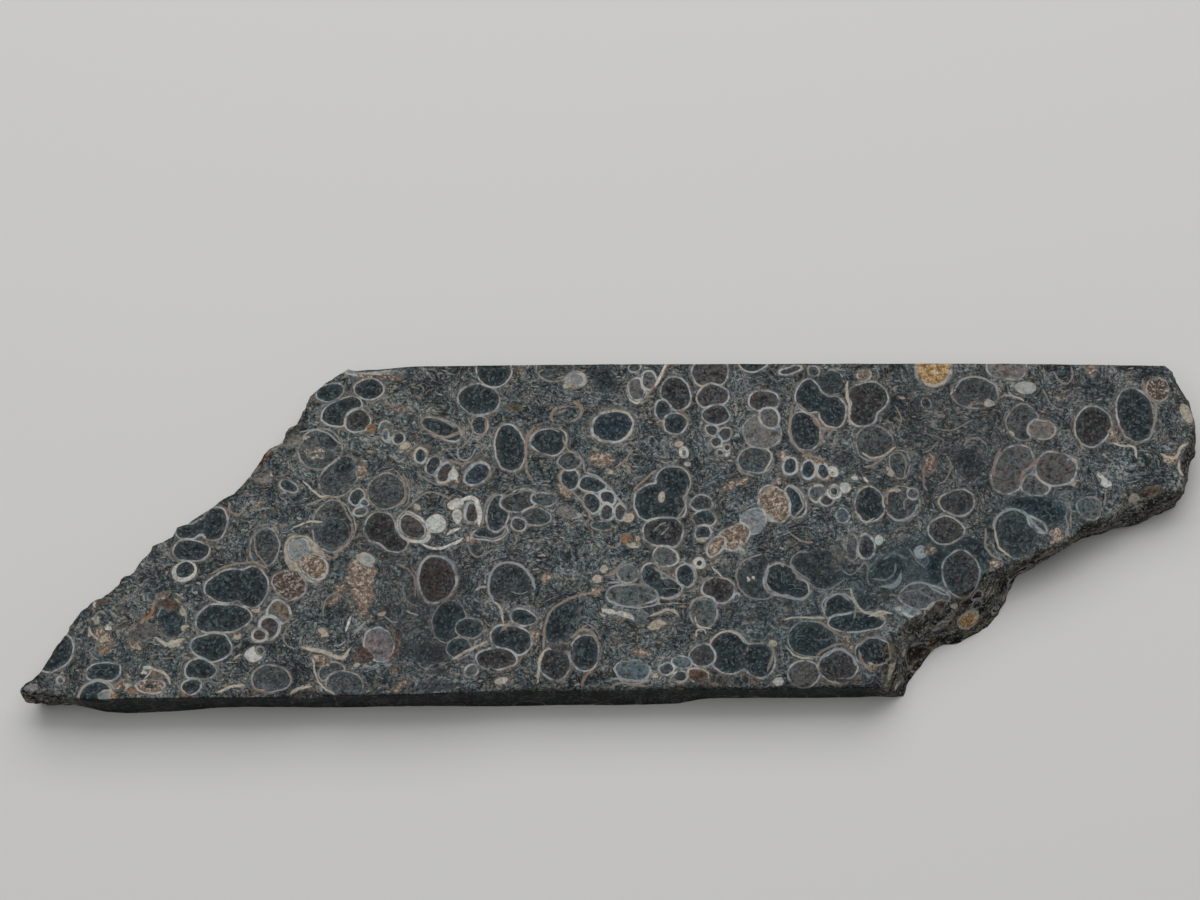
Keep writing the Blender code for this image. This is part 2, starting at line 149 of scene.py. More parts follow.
# Cut shells: fill, then one or more whorls. A whorl may name its own fill last.
SHELLS = [
    # the ladder at the left
    ("dark", (-62.7, -9.8, 3.8, 2.6, 16, -59, -10.1, 2.6, 3.15), (-63.3, -15.4, 4.35, 2.5, 5),
     (-65.1, -20.2, 3.3, 2.15, -3), (-66.5, -24, 2.45, 1.6), (-67.9, -26.8, 1.5, 1.25)),
    ("dark", (-69.8, -0.5, 1.9, 1.35, 15, -65.3, 0.9, 1.95, 2.8, -8, -67.7, 0.4, 1.6, 1, 20)),
    ("dark", (-68.8, -3.75, 2.8, 1.95, -3)),
    ("white", (-69.8, -7.4, 2.05, 1.75, 10), (-69.7, -7.2, 1.45, 1.25, "deep")),
    # far left
    ("dark", (-90.3, -20.8, 3.1, 3.4, -30)), ("dark", (-82, -24.3, 2.7, 1.55, 6), (-82.9, -28.6, 2.7, 2.5)),
    ("tan", (-74.4, -27, 2.1, 1.2), (-74.4, -27, 1.1, 0.45, "black")),
    ("mist", (-93.6, -27.3, 1, 0.6, 10), (-81.2, -28.3, 0.9, 0.7)), ("pinkish", (-89, -25.6, 0.42, 0.42)),
    # lower left
    ("silt", (-46, 0.4, 3.4, 4.3), (-45.9, -0.8, 2.5, 2.5, "shade")),
    ("cream", (-50.4, -5.2, 4.4, 3, -55), (-51.4, -3.6, 1.7, 1.7, "pearl"),
     (-49.1, -6.4, 2.4, 1.7, -50, "tan")),
    ("brick", (-53, -9.5, 2.7, 2.1, -25)),
    ("clay", (-54.3, -14.3, 1.75, 2, 15), (-55.8, -16.9, 1.4, 1.8, 20, "brown"),
     (-57.3, -18.2, 1, 0.85, "brown")),
    ("white", (-58, -21.4, 1.4, 1.35), (-57.1, -20.8, 0.5, 0.6, 30, "silt")),
    ("silt", (-55.1, -25.6, 2.9, 2.3)),
    ("silt", (-45.5, -24.3, 2, 1.5, 10), (-43.4, -26.4, 2.85, 2.1, -12)),
    ("lilac", (-38.2, -19.8, 2.15, 2.8, 14)), ("silt", (-57.2, -3.2, 2.3, 3.3)),
    # upper left
    ("dark", (-47.4, 24, 2.2, 1.5, 22)),
    ("dark", (-45.3, 20.5, 3.5, 2.1, 28), (-42.5, 19, 2.05, 1.6, 6, "umber")),
    ("orange", (-40.3, 17.75, 0.9, 0.85)), ("dark", (-40.9, 24.6, 2.4, 1.9, -8)),
    ("pearl", (-40.8, 27.95, 4.2, 0.55, 2)), ("silt", (-48.7, 13.9, 3.5, 3.5)),
    ("shade", (-47.4, 15.6, 2, 1.4, -35)),
    ("silt", (-45.4, 8.9, 3.7, 2.7, 52), (-44.6, 10.9, 1.9, 1.4, 25, "deep")),
    ("dark", (-53.7, 7.4, 1.6, 0.8, -35)),
    ("dark", (-42.4, 5.5, 1.05, 1.25, -10), (-41.15, 4.45, 0.6, 0.55, "mist"),
     (-41.7, 3, 0.9, 0.65, "pinkish")),
    ("silt", (-37.5, 6.4, 3, 3)),
    ("blue", (-32.2, 12.8, 0.8, 1.25, -10), (-30.05, 11.1, 1.05, 1.7, -14, "dark"),
     (-28.1, 9.7, 1.05, 1.55, -20, "brown")),
    ("white", (-26.7, 9.4, 0.85, 0.95, -20)), ("blue", (-22.7, 9.6, 2.1, 1.45, 32)),
    ("dark", (-22.7, 22.8, 3.45, 2.55, -5)), ("dark", (-20.3, 28.1, 2.85, 3)),
    ("dark", (-17.5, 14.2, 2.4, 4.2, 8)), ("dark", (-11.3, 15.3, 2.9, 2.3)),
    ("dark", (-28.9, 17.6, 3.5, 1.5, -24)), ("dark", (-22.6, 18.5, 1.25, 1.5, 10)),
    ("sage", (-37.9, 17.3, 1, 1.6, 8), (-38, 16.6, 0.4, 0.75, "mist")), ("dark", (-35.9, 15.9, 0.8, 0.85)),
    ("cream", (-34.8, 14.5, 0.9, 0.6, 20)),
    # left of the middle
    ("umber", (-38.5, 0.2, 2.5, 2.4, 0, -36.2, -2, 2.3, 1.95, -25)),
    ("white", (-33, 0.1, 3.2, 2.4, -45), (-33.15, 0.25, 2.35, 1.6, -45, "taupe")),
    ("white", (-29.4, 0.9, 1.7, 1.6, -20)), ("brown", (-29.1, -8.6, 2.85, 3.9, 4)),
    ("mud", (-17.1, -9.3, 3.5, 3.3)), ("shade", (-29.8, -21.2, 2.6, 2)),
    ("teal", (-27, -15.9, 2.7, 3.3, -12), (-25.5, -20.3, 1.9, 1.6), (-23.7, -17, 2.2, 1.6)),
    ("dark", (-15, -15.3, 2, 1.2, -5)),
    ("dark", (-17.1, -18.8, 3.2, 2.3, -22), (-19.4, -22.2, 3.1, 1.8, -3, "umber")),
    ("pinkish", (-23.3, -24.1, 0.95, 0.9)), ("deep", (-9.8, -16.1, 2.2, 3.3, -10, -8.2, -14.2, 1.9, 1.8)),
    ("umber", (-10.1, -23, 2.5, 2.8)), ("dark", (-5.3, -21.1, 2.3, 2.95)),
    ("white", (-26.2, 4.2, 1.3, 0.9, 15), (-25.9, 2.3, 0.7, 1.2, 5)), ("brown", (-23.7, 2.8, 0.9, 1.4)),
    ("dark", (-20.8, -0.7, 2.8, 1.2, 12), (-19.5, 2.7, 1.7, 3, -12)),
    ("grey", (-16, 4.9, 3, 1.9, 15), (-13.1, 2.2, 2.3, 1.4, -5, "silt"), (-16.1, 0.8, 1.2, 1, "umber")),
    ("silt", (-12, 5.3, 2.1, 1)),
    # middle, above
    ("blue", (-0.75, 18, 3.25, 2.7, 12)), ("shade", (-1.9, 26.2, 1.9, 2.6, 10)),
    ("silt", (-10.3, 28.2, 3, 2)), ("tan", (-6.8, 26.2, 1.6, 1.3, 15), (-6.7, 26.2, 1.15, 0.95, "pearl")),
    ("cream", (-8.3, 25.2, 0.8, 0.5, 20)),
    ("white", (3.3, 24.5, 1.75, 2.35, 15), (3.2, 24.7, 1.15, 1.65, 15, "ash")),
    ("ash", (5.3, 26.2, 1.15, 1.5)), ("grey", (3, 28.6, 0.9, 0.9)), ("umber", (9.7, 23.8, 2.2, 2.9, 20)),
    ("dark", (7.5, 20.7, 1.3, 1.85), (9.6, 18.4, 1.9, 1.85, 10)),
    ("white", (10.9, 13.5, 0.95, 1.05), (10.9, 13.5, 0.4, 0.5, "peach")),
    ("cream", (10, 14.8, 0.9, 0.45, 20), (11.5, 11.4, 0.6, 0.45)),
    ("taupe", (15.4, 27.6, 3, 2.7), (15.9, 23.3, 2.65, 2), (16.3, 20.1, 2.2, 1.5, "umber")),
    ("grey", (15.7, 17.4, 1, 0.9), (17.7, 16.6, 0.9, 1.1), (16.3, 15.2, 0.85, 0.8)),
    ("white", (17.4, 13.8, 1.3, 1, 15), (16.9, 13.4, 0.45, 0.45, "grey"), (18, 14.3, 0.4, 0.4, "grey")),
    ("taupe", (24.2, 22.5, 2.35, 1.9), (23.7, 17, 3, 2.95, "pale"), (24.9, 19.5, 1.5, 1.7, "ash")),
    ("silt", (22.5, 12, 2.8, 2.3)), ("shade", (35.2, 25.8, 2.3, 1.7)),
    ("dark", (31.6, 23.3, 2.1, 2.7, 0, 35.4, 20.7, 2.2, 2.8, 0, 33.4, 22.4, 2.4, 1.8, -25)),
    ("dark", (30.8, 17.2, 2.5, 3.3, 12)), ("dark", (22.7, 29.4, 2.3, 1.4)),
    ("umber", (28.7, 28, 1.7, 0.5, 14)), ("grey", (32.5, 27.7, 0.9, 0.95)),
    # the two rows of rings, and the big shell under the middle
    ("blue", (28.3, 11, 1.05, 1.35, -8)), ("blue", (31.3, 10.4, 0.95, 1.45, 6)),
    ("blue", (33.7, 9.9, 0.8, 1.25, 5)),
    ("white", (35.4, 10, 0.95, 0.95), (35.3, 9.85, 0.17, 0.15, "black")),
    ("ash", (32.7, 6.3, 1.25, 1.25), (34.1, 5.1, 0.95, 0.85, "umber")),
    ("white", (35.4, 6.4, 1.3, 1.35), (35.3, 6.5, 0.55, 0.65, 10, "grey")),
    ("white", (37.2, 7.1, 1, 0.9, -20)), ("mist", (36.5, 2.3, 1, 1.2)),
    ("dark", (9, 8, 2.7, 3, 0, 5.5, 4.6, 2.8, 3.3, 0, 8.8, 4, 2.5, 2.6), (7.5, -0.6, 3.1, 2.6, "umber"),
     (7.9, -4.8, 1.85, 1.65, "ash")),
    ("cream", (7.2, 5.5, 0.6, 0.8)),
    ("grey", (13.8, 4.5, 1.55, 1.45), (14.1, 1.6, 1.65, 1.4, "dark"), (14, -0.8, 1.15, 1.1, "dark")),
    ("cream", (14, -1.9, 0.8, 0.4)), ("white", (13, -6, 1.1, 1.05), (13, -6, 0.45, 0.45, "deep")),
    ("mist", (19.1, -11.7, 0.5, 0.55)),
    # the group left of the big shell
    ("dark", (-4, 7.7, 2.2, 1.3, -18), (-1.7, 5.3, 1.2, 1.1, "ring"), (-1.8, 3, 0.95, 1.2, "ring"),
     (0.4, 3, 0.8, 1.35, "ring")),
    ("cream", (1.9, 1.9, 0.9, 0.8)), ("dark", (-4.3, 4.6, 1.05, 1.6, 26)), ("dark", (-7.7, 8.8, 1.4, 1.8)),
    ("silt", (-7.7, 12, 1.8, 1.6)), ("orange", (1.5, -1.7, 1.1, 0.8, 10)), ("cream", (3, -2.6, 0.9, 0.45)),
    # the long diagonal shell
    ("dark", (29, 4.7, 1.5, 2.7, 22)), ("tan", (25.6, 4.5, 2.3, 3.3, 22)),
    ("pearl", (22.1, 1.2, 1.9, 2.4, -40)), ("tan", (18.9, -1.5, 2.7, 1.8, 35), (15.9, -3.2, 1.7, 1, 45)),
    ("cream", (25, 2, 0.6, 0.3, -25)),
    # right of the middle, above
    ("umber", (41.4, 23.2, 3.05, 2.6, 0, 40.4, 20.3, 2.1, 2.3)),
    ("cream", (40.8, 27.2, 1.45, 1.15), (40.7, 27.3, 0.75, 0.6, "tan")), ("silt", (42.2, 15, 3, 2.9)),
    ("dark", (41.2, 4.2, 2.35, 3, -4)), ("silt", (46.4, 4.6, 2.9, 2.9)), ("mist", (48.3, 6.2, 0.8, 1)),
    ("silt", (46.3, 11.3, 1.6, 2.3)), ("silt", (38, -3.2, 0.9, 1.9)), ("ring", (40.3, -3, 1.25, 1.95, -8)),
    ("shade", (44, -6.6, 2.7, 1.9)), ("mist", (49, -3.9, 0.8, 0.85), (49, -3.9, 0.3, 0.3, "pearl")),
    ("white", (42.5, -1.8, 0.75, 0.8)), ("mud", (50.7, 22.3, 1.8, 1.5), (50.9, 22.2, 0.8, 0.9, "teal")),
    ("amber", (52.4, 28.3, 2.8, 2.8)), ("pale", (64.4, 28.7, 3.1, 2.3)), ("chalk", (67.4, 25, 1.75, 1.35)),
    ("silt", (59, 24, 3.7, 2.7)), ("silt", (66.8, 18.6, 2.8, 2.9), (69.8, 17.4, 2.2, 1.8, "pale")),
    ("umber", (78.2, 18, 2.8, 3.5, -22), (85.2, 20, 3, 4.7, 8, "dark")),
    ("brick", (89.2, 24.6, 1.75, 2.2, -5)), ("cream", (93.7, 20.3, 0.8, 1.8, 20)),
    ("ash", (64.6, 10.4, 2.9, 4.6, -37), (68.3, 7.7, 2.2, 2)), ("pinkish", (71.7, 10.6, 3.2, 2.8)),
    ("grey", (55.1, 4.6, 2.8, 2.2)),
    ("pool", (57, -3.3, 4, 1.9, -15, 51.6, -5.8, 1.7, 3.6, 0, 59.2, -4.6, 1.4, 2.4, 20),
     (53.3, -0.3, 2.8, 2.1, "grey"), (55.5, -7.7, 3, 3.8, "grey")),
    ("pool", (68.9, 3, 4, 2.4, -10, 65.2, 4.6, 2, 1)), ("shade", (64.8, -1.3, 3.2, 3.8)),
    ("pinkish", (68.2, 0.8, 1.8, 0.6, -45)), ("sage", (76.8, 3.5, 2.1, 1.75)),
    ("ash", (49.4, -11.7, 4, 2, -3)),
    # lower middle and lower right
    ("mud", (22.6, -8.6, 3.1, 3.6)),
    ("mud", (32.2, -6.8, 4.3, 3.4, -15), (26.2, -8.7, 2.5, 2.8, 0, 28.7, -10.3, 2.2, 1.4, -15, "dark")),
    ("umber", (16.2, -10.5, 2.6, 2.2, -10)), ("sage", (13.8, -14.4, 2.15, 2.5)),
    ("dark", (18, -21.2, 3.2, 3.4, 0, 22.3, -22.3, 2.6, 2.8)),
    ("grey", (13.6, -21.6, 1.95, 1.6), (10.3, -22.9, 1.6, 1.1, "mist"), (7.9, -23.9, 1.15, 0.9)),
    ("umber", (10, -25.5, 1.3, 0.9)),
    ("cream", (12.9, -24.9, 1.9, 1.45), (12.9, -24.9, 1.55, 1.15, "rust")), ("cream", (5.9, -25, 0.8, 0.5)),
    ("mist", (2.4, -24.2, 2.7, 1.4)), ("white", (25.5, -25.9, 1.2, 0.9, -15)),
    ("cream", (24.8, -19.7, 0.7, 0.6)), ("pinkish", (29.7, -24.8, 2.5, 2.2)),
    ("grey", (35.2, -23.4, 3, 2.6)), ("teal", (31.2, -18.9, 3.8, 2.9, -5)),
    ("dark", (35.8, -13.9, 2.8, 2.4, -30), (38.4, -15.9, 4.4, 1.7, 4)), ("dark", (41, -21, 2.9, 2.2)),
    ("dark", (5.4, -7.8, 1.5, 1.8, 0, 7.6, -10.2, 2.7, 1.5, -10), (11, -8, 1.5, 1.8)),
    ("sage", (2.3, -11.4, 4, 1.9)), ("sage", (1.7, -7.7, 1.5, 1.3)), ("teal", (-2.6, 0.7, 1.6, 0.75, -15)),
    ("white", (-18.3, -25.9, 1.4, 0.7)), ("teal", (-71.5, -15.6, 2.1, 3.1, 8)),
]

# Bits of shell and crystal with ragged edges, without walls: fill, then ellipses.
SCRAPS = [
    # the rubble at the far left
    ("tan", -82.4, -18.7, 1.6, 0.9, -30), ("cream", -81.6, -20.1, 1.1, 0.6, -45),
    ("orange", -82.7, -20.5, 0.8, 0.5, -30), ("white", -83.6, -15.6, 0.7, 0.55, 30),
    ("white", -81.6, -17.1, 0.75, 0.65, 20), ("cream", -84.4, -18, 0.4, 0.9, -30),
    ("mist", -83.4, -21.3, 1.1, 0.45, -30), ("pearl", -81.5, -28.2, 0.9, 0.7),
    ("white", -84.1, -13, 0.45, 0.4), ("cream", -77.9, -26, 0.5, 1.4, 12),
    ("orange", -77.2, -27.5, 0.55, 0.9, 30), ("clay", -73.5, -24.3, 0.9, 1.5, 30),
    ("white", -75, -23.3, 0.9, 0.4, 10), ("rust", -71.9, -12.9, 1.9, 0.9, -15),
    ("tan", -73.1, -11.7, 1.1, 0.5, 15), ("cream", -70.4, -11.6, 0.9, 0.4, -20),
    ("cream", -69.8, -14, 0.6, 1, 15), ("cream", -69.4, -17, 0.35, 0.6),
    ("white", -71.3, -19.6, 1.6, 0.5, 8), ("cream", -77, -20.2, 1.1, 0.45, -20),
    ("tan", -77.4, -16.8, 1.7, 0.45, 35), ("sage", -77.2, -14.7, 1.5, 0.45, -25),
    ("sage", -79.8, -12.7, 0.6, 1.2, -20), ("rust", -82.5, -12.6, 1.2, 0.5, 25),
    ("pearl", -93.4, -27.2, 1, 0.55, -10), ("pale", -90.3, -28.3, 1.4, 0.4, 5),
    ("amber", -68.9, -28, 0.8, 0.4, -10), ("amber", -80.4, -28.3, 0.4, 0.6),
    ("grit", -49.7, 13.3, 1.6, 1.4), ("white", 79.6, 8.1, 0.9, 1.1, 0, 78.9, 9.5, 0.6, 0.5),
    ("tan", 71.3, -1.2, 1, 1.2, 20), ("cream", 70.4, -2.2, 0.7, 0.4, 20),
    ("cream", -82.4, -18.8, 0.7, 0.5, 20), ("white", -84.1, -15.2, 0.5, 0.4),
    ("tan", -79.2, -26.2, 1, 0.6, 20), ("cream", -71, -19.9, 1, 0.4, 10),
    ("white", -75.4, -24.2, 0.6, 0.4, -20), ("cream", -50.9, 15.8, 0.7, 0.4, 20),
    ("orange", 52.2, -13.3, 2, 0.5, 35), ("tan", 49.6, -14.6, 1.8, 0.6, 35),
    ("brown", 46.6, -16.6, 1.4, 0.6, 30), ("tan", -39.5, 27, 3.6, 0.45, -3),
    ("white", -26.3, 8.7, 0.9, 0.5, -50), ("tan", -83, -17.6, 0.9, 0.6, 30),
    ("tan", -49.2, -26.9, 0.9, 0.4, 20), ("brown", -50.3, -28, 1.8, 0.6, 10),
    ("orange", -58.2, 12, 0.8, 2, -20), ("black", -56.9, 12.7, 0.4, 1.2, -25),
    ("orange", -54, 16.7, 1.3, 0.6, 15), ("cream", -56.2, 3.2, 0.9, 0.35, -40),
    ("tan", -58.4, 4.3, 1.2, 0.4, 30), ("cream", -56.4, 9.2, 0.3, 0.8), ("cream", 44.6, 9.8, 0.5, 0.9, 30),
    ("tan", 32.3, 12.2, 2.1, 0.5, -25), ("tan", 27.1, 12.3, 0.6, 1), ("shade", 37.2, 11.8, 1.8, 1.2),
    ("shade", 57.5, 11.4, 2.2, 2.8), ("pale", 86.9, 6.3, 1.6, 1.1, -30), ("tan", -2.7, 12.1, 1.9, 1),
    ("pale", -7.9, 3, 1.7, 1.2, -20), ("tan", -15.5, 27.8, 0.5, 0.9, 20), ("tan", -17, 28.5, 0.9, 0.3),
    ("white", 20.9, -25.8, 1.6, 0.5, -5), ("cream", 23.5, -25.4, 0.6, 0.4),
    ("rust", 26.7, -16, 0.8, 0.5, 10), ("mist", 38.2, -9.9, 0.8, 0.6, 20),
    ("white", 43.7, -2, 0.5, 0.2, -40), ("pinkish", 35.4, -5.3, 0.9, 2.2),
    ("mist", -3.9, -14.1, 0.5, 1.1, -20), ("cream", 2.3, -2.9, 1.6, 0.45, 5), ("tan", 3.5, -1.8, 0.5, 0.7),
    ("rust", 2, -26.4, 3, 0.6), ("brown", -9, -20.2, 2, 0.6, -15),
    ("tan", -41.5, -7.6, 2.3, 2.7, -15, -41, -10.8, 1.8, 2.3, 15, -40.9, -13.4, 0.7, 1.9, 5),
    ("chalk", -40.7, -5.5, 1.6, 1.3, -20), ("tan", -45.8, -12.3, 1.3, 0.5, 40),
    ("tan", -44.3, -9.9, 1.1, 0.7, 40), ("cream", -43.4, -12.9, 1, 0.5, -50),
    ("pale", -29.7, -19.5, 0.8, 0.28, -5), ("tan", -23.9, -2, 0.7, 0.7), ("dark", -23.2, -3.5, 0.8, 0.7),
    ("pale", -18.2, -13.5, 0.5, 1.1, -35), ("pale", -53, 15.2, 1.5, 1.1, 20),
    ("pale", -57.9, 8.7, 1.5, 0.8, 5), ("tan", -41.7, 10.3, 0.8, 1.5), ("cream", -32.8, 3.9, 0.5, 0.8, 20),
    ("tan", -37.8, 21.5, 0.7, 0.5), ("tan", -35.6, 21, 1, 0.4, 15), ("brown", -37.6, 21.4, 0.4, 0.4),
    ("olive", -17.1, 21.4, 1.6, 0.8, -10), ("tan", -26.2, 8.2, 0.7, 0.4, -30),
    ("cream", -47.3, -17.8, 0.9, 0.7, -20), ("tan", -47.2, -22.5, 1.6, 0.9, -20),
    ("rust", -40.4, -21.5, 1.7, 1.4, -25), ("cream", -41.8, -23, 0.8, 0.5),
    ("orange", -35.7, -24.2, 0.5, 0.4), ("tan", -34.7, -26.7, 1.5, 0.5, 35), ("olive", -38.7, -27, 1, 0.5),
    ("shade", -28.7, -26.5, 3.2, 1), ("cream", -37.8, -14.8, 0.6, 0.5, 30), ("tan", -11.4, -8.6, 0.9, 0.9),
    ("tan", -13.2, -18.4, 0.6, 1, -20), ("black", -20.3, -24.3, 1.4, 0.5, 8),
    ("olive", -80.7, -13, 0.4, 1.3, 35), ("cream", -83.6, -15.9, 0.6, 0.5),
    ("white", -81.5, -17.2, 0.6, 0.5, 20), ("tan", -82.2, -20, 1.3, 0.7, -30),
    ("tan", -77.3, -19.5, 1.1, 0.4, -15), ("pinkish", -76.1, -17.7, 2.3, 1.4, 10),
    ("cream", -77.9, -26.7, 0.6, 1, 15), ("orange", -77.4, -27.3, 0.5, 0.6),
    ("cream", -69.9, -14.2, 0.5, 0.9, 15), ("cream", -70.3, -12, 0.7, 0.4, -20),
    ("orange", -73.2, -11.5, 0.6, 0.3, 40), ("cream", -73.2, -3.5, 0.45, 0.5),
    ("cream", -58, -13.8, 0.6, 0.5, 40), ("cream", -60.8, -18.5, 0.8, 0.45, 40),
    ("mist", -60.7, -24.3, 0.6, 0.4, -20), ("white", -59.1, -25.5, 0.3, 0.2),
    ("orange", -68.8, -28.2, 0.8, 0.4), ("orange", -56.6, -27.7, 1.5, 0.4, -5),
    ("cream", -1.1, 9.8, 0.6, 0.3), ("tan", 19, 7.6, 2.5, 0.6, 25), ("tan", -8.6, 6.5, 1.6, 0.5, -40),
    ("cream", -6.5, 2, 0.9, 0.4, 50), ("white", -1.6, -14.2, 1.4, 0.6, -12, 1.3, -15, 1.6, 0.7, -8),
    ("cream", 6.3, -16.5, 1.3, 0.65, 5), ("sage", 3.9, -15.6, 0.9, 0.8), ("cream", -2.2, -6.9, 0.9, 0.7),
    ("cream", -3.1, -8.6, 0.8, 0.7, 20), ("white", 0.9, -9.2, 0.8, 0.25, 10),
    ("tan", -3.3, -10.8, 1.3, 0.6, 10), ("tan", 8.8, -7.8, 0.9, 0.5, -40), ("cream", 19.8, -3.2, 0.6, 0.5),
    ("tan", 3.9, -21.4, 1.5, 0.5, -10), ("brown", 15.8, -25.8, 2.2, 0.7), ("brown", 35.5, -26, 3.6, 0.7),
    ("tan", 40.2, -23.5, 0.6, 1, 20), ("tan", 37, -19.6, 0.6, 1.4, 20), ("white", 21.9, -8.3, 0.3, 0.7),
    ("white", 21.1, -8.6, 0.25, 0.6, 30), ("tan", 42.5, -15, 1.2, 0.5, -30), ("white", 38.5, 8.7, 0.7, 0.4),
    ("white", 40.4, 8.4, 0.4, 0.4), ("mist", 41.9, 8.4, 0.6, 0.6), ("cream", 45.3, 6.7, 1, 0.5),
    ("tan", 51.2, 11.5, 0.8, 1.9, -15), ("mist", 48.4, 11.8, 0.4, 1, -30), ("cream", 61, 22.1, 0.8, 0.6),
    ("tan", 58.7, 22, 1.3, 0.4, 10), ("cream", 46.7, 23, 0.5, 0.3, -30), ("white", 60.9, 0.3, 0.35, 0.25),
    ("tan", 60.9, -6.1, 1.2, 0.6, -20), ("cream", 64.6, 16.8, 0.5, 0.7), ("cream", 74.2, 8.3, 0.5, 0.6),
    ("cream", 74.6, 11.9, 1, 0.4, -20), ("tan", 78.7, 28.1, 0.5, 1.1, -15),
    ("tan", 81.5, 16.2, 0.5, 1.5, 15), ("tan", 90.6, 12.4, 1.1, 0.8, -20),
    ("cream", 73, 23.3, 0.5, 0.6, 20), ("pearl", 46.5, -14.1, 2.4, 1, -10),
    ("white", 47.2, -14.5, 1.6, 0.4, -15), ("white", 45.2, -13.6, 0.9, 0.35, 20),
    ("white", 44, -9, 0.4, 0.2, 30), ("tan", 50.7, -3.5, 1, 0.8), ("tan", 84.9, 6.3, 2.4, 0.6, 12),
    ("tan", 26.7, 8.5, 0.7, 0.5, 60), ("cream", 38.3, 19, 0.5, 0.4, -30),
]

